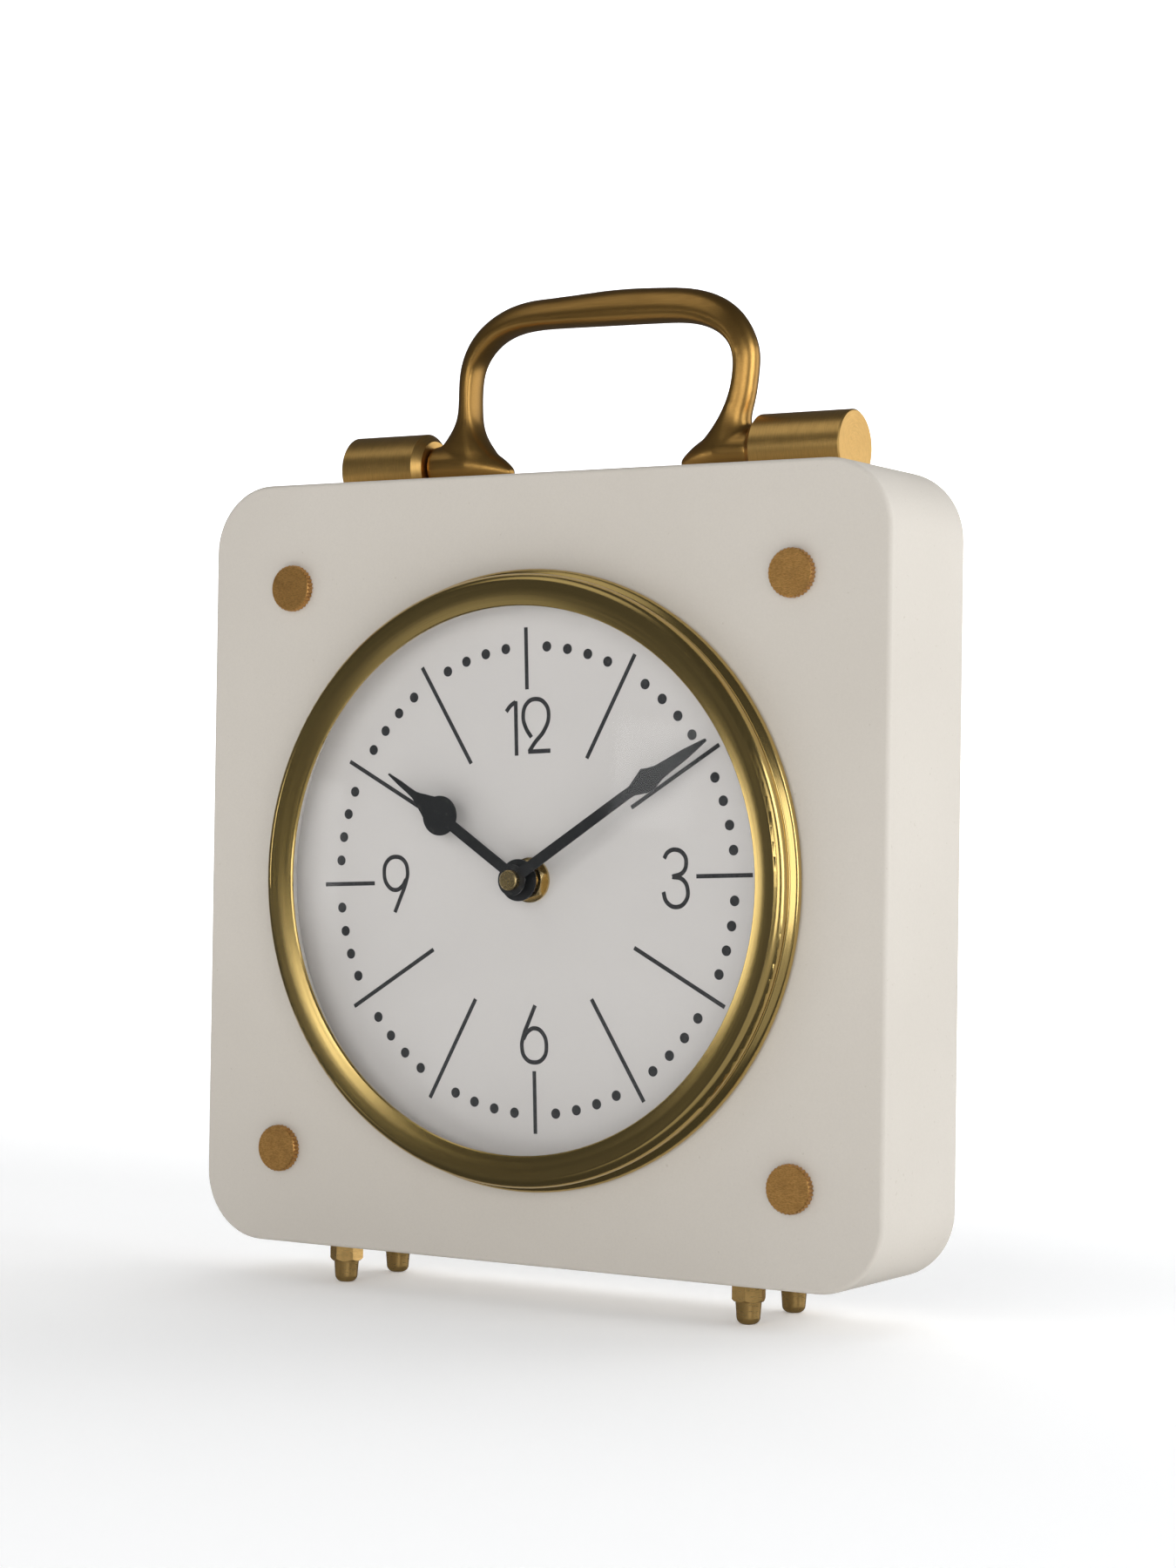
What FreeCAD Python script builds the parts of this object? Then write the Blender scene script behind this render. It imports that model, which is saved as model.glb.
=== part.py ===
"""Carriage clock: a painted square case with a round brass-framed dial, a hinged carrying handle,
four brass feet and a battery quartz movement.

Millimetres.  +Z is up, +X is to the right of someone facing the dial, and +Y runs from the dial
towards the back.  The origin lies on the surface the clock stands on, midway across its width and
midway between the foremost point of the glass and the back of the case.
"""
import FreeCAD, Part
import math
import os

Vec = FreeCAD.Vector
X_AXIS = Vec(1, 0, 0)
Y_AXIS = Vec(0, 1, 0)
Z_AXIS = Vec(0, 0, 1)

# ---------------------------------------------------------------- clearances
SLIP = 0.1                 # round the loose fit of a fixed piece in its seat
RUNNING = 0.05             # radial clearance of everything that turns
END_PLAY = 0.1             # axial play beside a turning piece

# ---------------------------------------------------------------- case
CASE_WIDTH = 230.0
CASE_HEIGHT = 228.4
CASE_DEPTH = 46.3
CORNER_RADIUS = 20.0
EDGE_ROUND = 1.2
CASE_WALL = 16.0
FRONT_BOARD = 14.0
CAVITY_CORNER = 8.0
FOOT_HEIGHT = 11.5         # from the standing surface to the case

# ---------------------------------------------------------------- back panel
PANEL_THICKNESS = 3.0
PANEL_LEDGE = 8.0          # width of the case's ledge under the panel
PANEL_OPENING = 84.0
PANEL_OPENING_CORNER = 6.0
PANEL_SCREW_LENGTH = 12.0
PANEL_SCREW_RADIUS = 1.5
PANEL_SCREW_HEAD_RADIUS = 3.0
PANEL_SCREW_HEAD = 1.4

# ---------------------------------------------------------------- dial, glass and bezel
DIAL_DROP = 3.4            # the dial's centre below the case's centre
DIAL_SUNK = 1.6            # the dial's face behind the case's front
DIAL_THICKNESS = 1.0
DIAL_RADIUS = 87.2
DIAL_HOLE_GAP = 0.2
BEZEL_RADIUS = 89.5        # outside of the bead that lies on the case
BEZEL_SIGHT_RADIUS = 78.6  # inside of the front lip
BEZEL_CREST_RADIUS = 86.0
BEZEL_CREST = 9.3          # the crest in front of the case
BEZEL_LIP = 8.0            # the lip in front of the case
BEZEL_CONE_BULGE = 0.2     # how far the cone bellies out between them
BEZEL_SHOULDER_RADIUS = 87.9
BEZEL_SHOULDER = 7.8
BEZEL_GROOVE_RADIUS = 87.3
BEZEL_GROOVE = 4.3
BEZEL_BEAD = 1.7           # middle of the bead in front of the case
BEZEL_SHEET = 0.9
BEZEL_SKIRT_RADIUS = 87.3
GLASS_THICKNESS = 1.5
GLASS_RADIUS = 83.0
GLASS_RIM = 5.0            # width of the flat rim
GLASS_SAG = 7.5            # height of the dome above its rim
RETAINER_GLASS_RADIUS = 80.2
RETAINER_DIAL_RADIUS = 83.8
RETAINER_LIP = 1.0         # how far the ring reaches round the glass's edge

# ---------------------------------------------------------------- knurled screws
SCREW_HEAD_RADIUS = 6.95
SCREW_HEAD = 2.4
SCREW_BEVEL = 0.45
SCREW_RIDGES = 34
SCREW_RIDGE_DEPTH = 0.45
SCREW_SHANK_RADIUS = 2.5
SCREW_SHANK = 10.0
UPPER_SCREW_X = 85.2
UPPER_SCREW_Z = 82.7
LOWER_SCREW_X = 87.1
LOWER_SCREW_Z = -86.0
INSERT_RADIUS = 3.6
INSERT_LENGTH = 11.0

# ---------------------------------------------------------------- feet
FOOT_X = 69.0
FOOT_INSET = 9.7           # from the case's front or back face
FOOT_ACROSS_FLATS = 8.6
FOOT_HEX = 5.1             # height of the six-sided part
FOOT_HEX_BEVEL = 0.7
FOOT_DOME_RADIUS = 3.75    # at the top of the acorn
FOOT_DOME_TIP_RADIUS = 3.2
FOOT_DOME_ROUND = 2.0
FOOT_STUD_RADIUS = 2.0
FOOT_STUD_IN_CASE = 12.0
FOOT_STUD_IN_FOOT = 6.5
FOOT_TURNS = (58.0, 17.0, 35.0, 5.0)

# ---------------------------------------------------------------- handle and its sockets
SOCKET_RADIUS = 10.6
PIVOT_HEIGHT = 7.0         # the pivot above the case's top
PIVOT_FROM_BACK = 11.6
SOCKET_OUTER_X = 86.0
LEFT_SOCKET_INNER_X = 57.8
RIGHT_SOCKET_INNER_X = 54.6
SOCKET_CHAMFER = 2.3
SOCKET_EDGE = 0.4
SOCKET_GAP = 0.4           # between a socket and the handle's barrel
BARREL_RADIUS = 6.6
PIN_RADIUS = 2.5
PIN_IN_SOCKET = 12.0
PIN_IN_HANDLE = 9.0
BEAK_X = 29.4              # tips of the handle's inward points
BEAK_RADIUS = 1.4
BEAK_DROP = 2.6            # the tip's middle below the pivot
SOCKET_SCREW_RADIUS = 2.0
SOCKET_SCREW_TIP_GAP = 0.6 # between a screw's hole and the hinge pin above it
SOCKET_SCREW_HEAD_RADIUS = 3.8
SOCKET_SCREW_HEAD = 2.6
SOCKET_SCREW_INSET = 5.0   # from each end of a socket

# One row for each section of the cast bow, from the left foot over the top to the right foot:
# x, height above the pivot, direction of its outer side in degrees from +X towards +Z,
# thickness outside and inside the crease, and half of its depth.
BOW_SECTIONS = (
    (-43.5, 1.0, 180.0, 13.0, 9.0, 6.0),
    (-43.5, 5.0, 180.0, 12.6, 6.4, 6.0),
    (-43.8, 8.6, 180.0, 9.4, 3.8, 5.6),
    (-44.1, 13.5, 180.0, 5.8, 1.8, 5.1),
    (-44.2, 21.5, 178.0, 4.6, 1.2, 5.0),
    (-43.2, 29.5, 163.0, 5.0, 1.3, 5.0),
    (-38.8, 36.2, 138.0, 5.8, 1.6, 5.1),
    (-30.0, 40.9, 107.0, 6.6, 1.9, 5.2),
    (-14.0, 42.3, 94.0, 7.2, 2.2, 5.4),
    (5.0, 42.0, 89.5, 8.3, 2.3, 5.6),
    (22.0, 41.6, 87.0, 8.2, 2.3, 5.6),
    (34.0, 40.2, 73.0, 8.0, 2.1, 5.5),
    (44.6, 35.0, 45.0, 6.8, 1.8, 5.3),
    (48.4, 28.5, 12.0, 5.9, 1.4, 5.1),
    (48.5, 22.5, 0.0, 5.6, 1.3, 5.0),
    (47.2, 15.8, -9.0, 5.8, 1.5, 5.1),
    (45.6, 10.3, -6.0, 6.2, 2.9, 5.4),
    (44.6, 5.0, 0.0, 8.8, 6.6, 6.0),
    (43.8, 1.0, 0.0, 9.8, 9.4, 6.0),
)
BOW_SECTION_POINTS = 16

# ---------------------------------------------------------------- hands and the stack under them
MINUTE_ANGLE = 56.8        # clockwise from straight up, seen from the front
HOUR_ANGLE = -56.6
HAND_SHEET = 0.5
MINUTE_HEIGHT = 10.1       # middle of the sheet in front of the dial
HOUR_HEIGHT = 6.6
MINUTE_LENGTH = 73.4
MINUTE_BEND_START = 44.0
MINUTE_BEND_DROP = 3.0     # how far the tip is bent back towards the dial
MINUTE_HUB_RADIUS = 4.5
MINUTE_COLLET_RADIUS = 2.7
MINUTE_COLLET = 2.4
HOUR_LENGTH = 54.9
HOUR_HUB_RADIUS = 6.05
HOUR_COLLET_RADIUS = 4.2
HOUR_COLLET = 2.2
CAP_RADIUS = 2.9
CAP_THICKNESS = 2.0
WASHER_RADIUS = 6.5
WASHER_THICKNESS = 0.8
NUT_ACROSS_FLATS = 10.6
NUT_THICKNESS = 2.2
BUSH_RADIUS = 4.0
MINUTE_ARBOR_RADIUS = 1.5
HOUR_TUBE_RADIUS = 2.6

# ---------------------------------------------------------------- movement
MOVEMENT_SIZE = 56.0
MOVEMENT_DEPTH = 17.0
MOVEMENT_CORNER = 3.0
SHELL_WALL = 1.5
MOVEMENT_HOLE = 62.0       # square hole through the front board
MOVEMENT_HOLE_CORNER = 5.0
GASKET_THICKNESS = 1.0
GASKET_RADIUS = 12.0
BATTERY_RADIUS = 7.1
BATTERY_LENGTH = 49.5
BATTERY_NUB_RADIUS = 2.7
BATTERY_NUB = 1.0
BATTERY_GAP = 0.15
CONTACT_THICKNESS = 0.4
ROOM_BOTTOM = -10.5        # lower wall of the wheel room, from the dial's centre
PIVOT_RADIUS = 0.5
PIVOT_DEPTH = 0.9
KNOB_RADIUS = 7.0
KNOB_THICKNESS = 4.0
KNOB_RIDGES = 30
KNOB_RIDGE_DEPTH = 0.3
KNOB_GAP = 0.3

PRESSURE_ANGLE = math.radians(22.0)
ADDENDUM = 0.85
DEDENDUM = 1.2
BACKLASH = 0.18            # share of the module taken off each tooth's thickness
MESH_GAP = 0.12            # share of the module added to each distance between arbors
MOTION_MODULE = 0.35       # cannon pinion, minute wheel and setting pinion
CANNON_TEETH = 12
MINUTE_WHEEL_TEETH = 36
SETTING_TEETH = 12
MINUTE_PINION_TEETH = 10
HOUR_WHEEL_TEETH = 40
CENTRE_MODULE = 0.25       # centre wheel and the third wheel's pinion
CENTRE_TEETH = 80
TRAIN_PINION_TEETH = 10
THIRD_MODULE = 0.2         # third wheel and the seconds wheel's pinion
THIRD_TEETH = 75
SECONDS_MODULE = 0.2       # seconds wheel and the intermediate wheel's pinion
SECONDS_TEETH = 50
ROTOR_MODULE = 0.16        # intermediate wheel and the rotor's pinion
INTERMEDIATE_TEETH = 60
THIRD_DIRECTION = 168.0    # directions from one arbor to the next, from +X towards +Z
SECONDS_DIRECTION = 122.0
INTERMEDIATE_DIRECTION = 60.0
ROTOR_DIRECTION = 18.0
WHEEL_THICKNESS = 0.8
PINION_THICKNESS = 1.2

# ---------------------------------------------------------------- places that follow from the sizes
GLASS_FRONT = BEZEL_LIP - BEZEL_SHEET          # the rim's face in front of the case
GLASS_APEX = GLASS_FRONT + GLASS_SAG
OVERALL_DEPTH = GLASS_APEX + CASE_DEPTH
FRONT = GLASS_APEX - OVERALL_DEPTH / 2         # y of the case's front face
BACK = FRONT + CASE_DEPTH
CASE_BOTTOM = FOOT_HEIGHT
CASE_TOP = CASE_BOTTOM + CASE_HEIGHT
CASE_MIDDLE = CASE_BOTTOM + CASE_HEIGHT / 2
DIAL_Z = CASE_MIDDLE - DIAL_DROP
DIAL_FACE = FRONT + DIAL_SUNK
DIAL_BACK = DIAL_FACE + DIAL_THICKNESS
CAVITY_FRONT = FRONT + FRONT_BOARD
PANEL_FRONT = BACK - PANEL_THICKNESS
PIVOT_Y = BACK - PIVOT_FROM_BACK
PIVOT_Z = CASE_TOP + PIVOT_HEIGHT
SOCKET_SCREW_GRIP = PIVOT_HEIGHT - PIN_RADIUS - SOCKET_SCREW_TIP_GAP

MOVEMENT_FRONT = DIAL_BACK + GASKET_THICKNESS
MOVEMENT_BACK = MOVEMENT_FRONT + MOVEMENT_DEPTH
ROOM_FRONT = MOVEMENT_FRONT + SHELL_WALL
COVER_FRONT = MOVEMENT_BACK - SHELL_WALL
WASHER_FRONT = DIAL_FACE - WASHER_THICKNESS
NUT_FRONT = WASHER_FRONT - NUT_THICKNESS
BUSH_FRONT = NUT_FRONT - 0.5
HOUR_HAND_FRONT = DIAL_FACE - HOUR_HEIGHT - HAND_SHEET / 2
MINUTE_HAND_FRONT = DIAL_FACE - MINUTE_HEIGHT - HAND_SHEET / 2
CAP_FRONT = MINUTE_HAND_FRONT - CAP_THICKNESS

# Depths of the wheels behind the movement's front wall.
HOUR_WHEEL_Y = ROOM_FRONT + 0.35
MINUTE_WHEEL_Y = HOUR_WHEEL_Y + PINION_THICKNESS + 0.4
CENTRE_Y = MINUTE_WHEEL_Y + PINION_THICKNESS + 0.4
THIRD_Y = CENTRE_Y + WHEEL_THICKNESS + 0.8
SECONDS_Y = THIRD_Y + WHEEL_THICKNESS + 0.8
INTERMEDIATE_Y = SECONDS_Y + WHEEL_THICKNESS + 0.8
STATOR_Y = THIRD_Y - 0.4
STATOR_THICKNESS = 1.0
MAGNET_RADIUS = 2.9
MAGNET_HEIGHT = 2.2

# Housing, board, contacts and coil, from the dial's centre.
HALF = MOVEMENT_SIZE / 2
ROOM_HALF = HALF - SHELL_WALL
BAY_TOP = ROOM_BOTTOM - SHELL_WALL
BATTERY_Z = DIAL_Z + BAY_TOP - BATTERY_GAP - BATTERY_RADIUS
BATTERY_Y = ROOM_FRONT + BATTERY_GAP + BATTERY_RADIUS
POST_X = 23.5
UPPER_POST = 23.5              # above the dial's centre
LOWER_POST = -7.5
POST_SPOTS = tuple((x, DIAL_Z + rise) for rise in (UPPER_POST, LOWER_POST) for x in (-POST_X, POST_X))
POST_RADIUS = 2.5
HOUSING_SCREW_RADIUS = 1.0
HOUSING_SCREW_HEAD_RADIUS = 1.9
HOUSING_SCREW_HEAD = 1.2
HOUSING_SCREW_GRIP = 6.0
STATOR_POSTS = ((16.0, DIAL_Z + 14.0), (-6.0, DIAL_Z + 23.6))
STATOR_POST_RADIUS = 1.4
BOARD_THICKNESS = 0.8
BOARD_FRONT = INTERMEDIATE_Y + PINION_THICKNESS
BOARD_LOW_X = 9.5
BOARD_HIGH_X = 25.5
BOARD_LOW_Z = DIAL_Z - 4.0
BOARD_HIGH_Z = DIAL_Z + 11.0
BOARD_POSTS = ((12.0, DIAL_Z - 1.5), (23.0, DIAL_Z + 8.5))
STRIP_WIDTH = 2.0
STRIP_Y = BOARD_FRONT + BOARD_THICKNESS + CONTACT_THICKNESS
BOARD_POST_RADIUS = 1.2
MINUTE_POST_RADIUS = 0.8
ARBOR_RADIUS = 0.8
SETTING_ARBOR_RADIUS = 1.0
CENTRE_ARBOR_RADIUS = 1.2      # the minute arbor behind its cannon pinion
ROTOR_ARBOR_RADIUS = PIVOT_RADIUS + 0.1
BUSH_FLANGE = 1.5              # how far the bush's flange stands out
BUSH_FLANGE_THICKNESS = 0.8
COIL_RISE = 22.9               # the coil's core above the dial's centre
COIL_START = 4.0
COIL_LENGTH = 12.0
COIL_FLANGE = 0.8
COIL_FLANGE_RADIUS = 3.3
COIL_BARREL_RADIUS = 1.7
COIL_WIRE_RADIUS = 3.0
CORE_HALF = 1.0                # half the height of the stator's core

def arbor_distance(module, teeth, other_teeth):
    return module * ((teeth + other_teeth) / 2 + MESH_GAP)


def step(start, distance, direction):
    angle = math.radians(direction)
    return start[0] + distance * math.cos(angle), start[1] + distance * math.sin(angle)


MOTION_DISTANCE = arbor_distance(MOTION_MODULE, CANNON_TEETH, MINUTE_WHEEL_TEETH)
HOUR_MODULE = MOTION_DISTANCE / ((MINUTE_PINION_TEETH + HOUR_WHEEL_TEETH) / 2 + MESH_GAP)
CENTRE_SPOT = (0.0, DIAL_Z)
MINUTE_WHEEL_SPOT = step(CENTRE_SPOT, MOTION_DISTANCE, 90)
SETTING_SPOT = step(MINUTE_WHEEL_SPOT, arbor_distance(MOTION_MODULE, MINUTE_WHEEL_TEETH, SETTING_TEETH), 90)
THIRD_SPOT = step(CENTRE_SPOT, arbor_distance(CENTRE_MODULE, CENTRE_TEETH, TRAIN_PINION_TEETH),
                  THIRD_DIRECTION)
SECONDS_SPOT = step(THIRD_SPOT, arbor_distance(THIRD_MODULE, THIRD_TEETH, TRAIN_PINION_TEETH),
                    SECONDS_DIRECTION)
INTERMEDIATE_SPOT = step(SECONDS_SPOT, arbor_distance(SECONDS_MODULE, SECONDS_TEETH, TRAIN_PINION_TEETH),
                         INTERMEDIATE_DIRECTION)
ROTOR_SPOT = step(INTERMEDIATE_SPOT, arbor_distance(ROTOR_MODULE, INTERMEDIATE_TEETH, TRAIN_PINION_TEETH),
                  ROTOR_DIRECTION)

parts = {}


# ---------------------------------------------------------------- shared shapes
def disc(radius, front, back, x=0.0, z=0.0):
    """Solid cylinder along Y."""
    return Part.makeCylinder(radius, back - front, Vec(x, front, z), Y_AXIS)


def ring(inner, outer, front, back, x=0.0, z=0.0):
    """Tube along Y."""
    return disc(outer, front, back, x, z).cut(disc(inner, front - 1, back + 1, x, z))


def block(x0, x1, y0, y1, z0, z1):
    """Box between two corners."""
    return Part.makeBox(x1 - x0, y1 - y0, z1 - z0, Vec(x0, y0, z0))


def rounded_slab(width, height, corner, front, back, x=0.0, z=0.0):
    """Upright slab with rounded corners, seen from the front as a rounded rectangle."""
    slab = block(x - width / 2, x + width / 2, front, back, z - height / 2, z + height / 2)
    upright = [edge for edge in slab.Edges if abs(edge.tangentAt(edge.FirstParameter).y) > 0.99]
    return slab.makeFillet(corner, upright)


def lathe(points, x=0.0, z=0.0):
    """Solid of revolution about a Y line through (x, z), from (radius, y) corners."""
    corners = [Vec(x + radius, y, z) for radius, y in points]
    face = Part.Face(Part.makePolygon(corners + corners[:1]))
    return face.revolve(Vec(x, 0, z), Y_AXIS, 360)


def hexagon(across_flats, low, height, x, y, turn, axis):
    """Six-sided prism along axis from a point, one corner turned by the given angle."""
    radius = across_flats / math.sqrt(3)
    corners = []
    for index in range(6):
        angle = math.radians(turn + 60 * index)
        if axis is Z_AXIS:
            corners.append(Vec(x + radius * math.sin(angle), y - radius * math.cos(angle), low))
        else:
            corners.append(Vec(x + radius * math.sin(angle), low, y + radius * math.cos(angle)))
    face = Part.Face(Part.makePolygon(corners + corners[:1]))
    return face.extrude(axis * height)


def scalloped_disc(radius, ridges, depth, front, back, x, z):
    """Disc along Y with rounded ridges round its rim."""
    corners = []
    steps = ridges * 4
    for index in range(steps):
        angle = 2 * math.pi * index / steps
        reach = radius - depth * (0.5 - 0.5 * math.cos(angle * ridges))
        corners.append(Vec(x + reach * math.cos(angle), front, z + reach * math.sin(angle)))
    face = Part.Face(Part.makePolygon(corners + corners[:1]))
    return face.extrude(Vec(0, back - front, 0))


def involute(angle):
    return math.tan(angle) - angle


def gear(teeth, module, front, thickness, x, z, tooth_direction):
    """Spur gear along Y whose tooth or gap placing is set by the direction of one tooth."""
    pitch = teeth * module / 2
    base = pitch * math.cos(PRESSURE_ANGLE)
    tip = pitch + ADDENDUM * module
    root = pitch - DEDENDUM * module
    half_at_pitch = math.pi / (2 * teeth) - BACKLASH * module / (2 * pitch)
    flank_start = max(base, root)
    radii = [flank_start + (tip - flank_start) * share for share in (0.0, 0.35, 0.7, 1.0)]
    flank = []
    for radius in radii:
        roll = math.acos(min(1.0, base / radius))
        flank.append((radius, half_at_pitch + involute(PRESSURE_ANGLE) - involute(roll)))
    if root < base:
        flank.insert(0, (root, flank[0][1]))
    corners = []
    for index in range(teeth):
        middle = math.radians(tooth_direction) + 2 * math.pi * index / teeth
        for radius, half in flank:
            corners.append(Vec(x + radius * math.cos(middle - half), front,
                               z + radius * math.sin(middle - half)))
        for radius, half in reversed(flank):
            corners.append(Vec(x + radius * math.cos(middle + half), front,
                               z + radius * math.sin(middle + half)))
    face = Part.Face(Part.makePolygon(corners + corners[:1]))
    return face.extrude(Vec(0, thickness, 0))


def fuse_all(shapes):
    body = shapes[0].fuse(shapes[1:])
    return body.removeSplitter()


# ---------------------------------------------------------------- case and back
def screw_spots():
    """Centres of the four knurled screws."""
    spots = []
    for side in (-1, 1):
        spots.append((side * UPPER_SCREW_X, CASE_MIDDLE + UPPER_SCREW_Z))
        spots.append((side * LOWER_SCREW_X, CASE_MIDDLE + LOWER_SCREW_Z))
    return spots


def foot_spots():
    """Centres of the front pair and the rear pair of feet."""
    front = FRONT + FOOT_INSET
    rear = BACK - FOOT_INSET
    return [(-FOOT_X, front), (FOOT_X, front), (-FOOT_X, rear), (FOOT_X, rear)]


def panel_screw_spots():
    """Three screws on each side of the back panel, on the middle of the case's ledge."""
    x = CASE_WIDTH / 2 - CASE_WALL + PANEL_LEDGE / 2
    rise = CASE_HEIGHT / 2 - CASE_WALL - CAVITY_CORNER
    return [(side * x, CASE_MIDDLE + level * rise) for side in (-1, 1) for level in (-1, 0, 1)]


def socket_ends():
    """Low and high x of the left and the right socket."""
    return (-SOCKET_OUTER_X, -LEFT_SOCKET_INNER_X), (RIGHT_SOCKET_INNER_X, SOCKET_OUTER_X)


def socket_screw_spots():
    spots = []
    for low, high in socket_ends():
        spots.append(low + SOCKET_SCREW_INSET)
        spots.append(high - SOCKET_SCREW_INSET)
    return spots


def make_case():
    outer = rounded_slab(CASE_WIDTH, CASE_HEIGHT, CORNER_RADIUS, FRONT, BACK, 0, CASE_MIDDLE)
    rims = [edge for edge in outer.Edges
            if abs(edge.BoundBox.YLength) < 0.01]
    outer = outer.makeFillet(EDGE_ROUND, rims)
    cavity = rounded_slab(CASE_WIDTH - 2 * CASE_WALL, CASE_HEIGHT - 2 * CASE_WALL, CAVITY_CORNER,
                          CAVITY_FRONT, BACK + 1, 0, CASE_MIDDLE)
    panel_seat = rounded_slab(CASE_WIDTH - 2 * CASE_WALL + 2 * PANEL_LEDGE,
                              CASE_HEIGHT - 2 * CASE_WALL + 2 * PANEL_LEDGE,
                              CAVITY_CORNER + PANEL_LEDGE / 2, PANEL_FRONT, BACK + 1, 0, CASE_MIDDLE)
    dial_seat = disc(DIAL_RADIUS + SLIP, FRONT - 1, DIAL_BACK, 0, DIAL_Z)
    movement_hole = rounded_slab(MOVEMENT_HOLE, MOVEMENT_HOLE, MOVEMENT_HOLE_CORNER,
                                 FRONT, CAVITY_FRONT + 1, 0, DIAL_Z)
    cuts = [cavity, panel_seat, dial_seat, movement_hole]
    for x, z in screw_spots():
        cuts.append(disc(INSERT_RADIUS + SLIP, FRONT - 1, FRONT + INSERT_LENGTH + SLIP, x, z))
    for x, z in panel_screw_spots():
        cuts.append(disc(PANEL_SCREW_RADIUS + SLIP, BACK - PANEL_SCREW_LENGTH - SLIP, BACK, x, z))
    for x, y in foot_spots():
        cuts.append(Part.makeCylinder(FOOT_STUD_RADIUS + SLIP, FOOT_STUD_IN_CASE + SLIP + 1,
                                      Vec(x, y, CASE_BOTTOM - 1), Z_AXIS))
    for x in socket_screw_spots():
        cuts.append(Part.makeCylinder(SOCKET_SCREW_RADIUS + SLIP, CASE_WALL + 2,
                                      Vec(x, PIVOT_Y, CASE_TOP - CASE_WALL - 1), Z_AXIS))
    parts["case_body"] = outer.cut(cuts[0].fuse(cuts[1:]))


def make_back_panel():
    panel = rounded_slab(CASE_WIDTH - 2 * CASE_WALL + 2 * PANEL_LEDGE - 2 * SLIP,
                         CASE_HEIGHT - 2 * CASE_WALL + 2 * PANEL_LEDGE - 2 * SLIP,
                         CAVITY_CORNER + PANEL_LEDGE / 2, PANEL_FRONT, BACK, 0, CASE_MIDDLE)
    opening = rounded_slab(PANEL_OPENING, PANEL_OPENING, PANEL_OPENING_CORNER,
                           PANEL_FRONT - 1, BACK + 1, 0, DIAL_Z)
    panel = panel.cut(opening)
    screws = []
    for x, z in panel_screw_spots():
        panel = panel.cut(disc(PANEL_SCREW_RADIUS + SLIP, PANEL_FRONT - 1, BACK + 1, x, z))
        panel = panel.cut(disc(PANEL_SCREW_HEAD_RADIUS + SLIP, BACK - PANEL_SCREW_HEAD, BACK + 1, x, z))
        shank = disc(PANEL_SCREW_RADIUS, BACK - PANEL_SCREW_LENGTH, BACK - PANEL_SCREW_HEAD, x, z)
        head = disc(PANEL_SCREW_HEAD_RADIUS, BACK - PANEL_SCREW_HEAD, BACK - SLIP, x, z)
        screws.append(fuse_all([shank, head]))
    parts["back_panel"] = panel
    parts["back_panel_screws"] = Part.makeCompound(screws)


def make_knurled_screws():
    screws = []
    inserts = []
    for x, z in screw_spots():
        head = scalloped_disc(SCREW_HEAD_RADIUS, SCREW_RIDGES, SCREW_RIDGE_DEPTH,
                              FRONT - SCREW_HEAD, FRONT, x, z)
        bevel = lathe([(0, FRONT + 1), (SCREW_HEAD_RADIUS + 1, FRONT + 1),
                       (SCREW_HEAD_RADIUS + 1, FRONT - SCREW_HEAD + SCREW_BEVEL + 1),
                       (SCREW_HEAD_RADIUS - SCREW_BEVEL, FRONT - SCREW_HEAD),
                       (0, FRONT - SCREW_HEAD)], x, z)
        head = head.common(bevel)
        shank = disc(SCREW_SHANK_RADIUS, FRONT - 0.5, FRONT + SCREW_SHANK, x, z)
        screws.append(head.fuse(shank))
        inserts.append(ring(SCREW_SHANK_RADIUS + SLIP, INSERT_RADIUS, FRONT,
                            FRONT + INSERT_LENGTH, x, z))
    parts["knurled_screws"] = Part.makeCompound(screws)
    parts["threaded_inserts"] = Part.makeCompound(inserts)


def make_feet():
    feet = []
    studs = []
    for (x, y), turn in zip(foot_spots(), FOOT_TURNS):
        hex_low = FOOT_HEIGHT - FOOT_HEX
        corner = FOOT_ACROSS_FLATS / math.sqrt(3)
        nut = hexagon(FOOT_ACROSS_FLATS, hex_low, FOOT_HEX, x, y, turn, Z_AXIS)
        bevel = Part.makeCone(corner - FOOT_HEX_BEVEL, corner + FOOT_HEX, FOOT_HEX + FOOT_HEX_BEVEL,
                              Vec(x, y, hex_low), Z_AXIS)
        nut = nut.common(bevel)
        dome = Part.makeCone(FOOT_DOME_TIP_RADIUS, FOOT_DOME_RADIUS, hex_low + 0.5, Vec(x, y, 0), Z_AXIS)
        tip_edge = [edge for edge in dome.Edges if edge.BoundBox.ZMax < 0.01]
        dome = dome.makeFillet(FOOT_DOME_ROUND, tip_edge)
        bore = Part.makeCylinder(FOOT_STUD_RADIUS + SLIP, FOOT_STUD_IN_FOOT + 1,
                                 Vec(x, y, FOOT_HEIGHT - FOOT_STUD_IN_FOOT), Z_AXIS)
        feet.append(nut.fuse(dome).cut(bore))
        studs.append(Part.makeCylinder(FOOT_STUD_RADIUS, FOOT_STUD_IN_FOOT + FOOT_STUD_IN_CASE - SLIP,
                                       Vec(x, y, FOOT_HEIGHT - FOOT_STUD_IN_FOOT + SLIP), Z_AXIS))
    parts["acorn_feet"] = Part.makeCompound(feet)
    parts["foot_studs"] = Part.makeCompound(studs)


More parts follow.
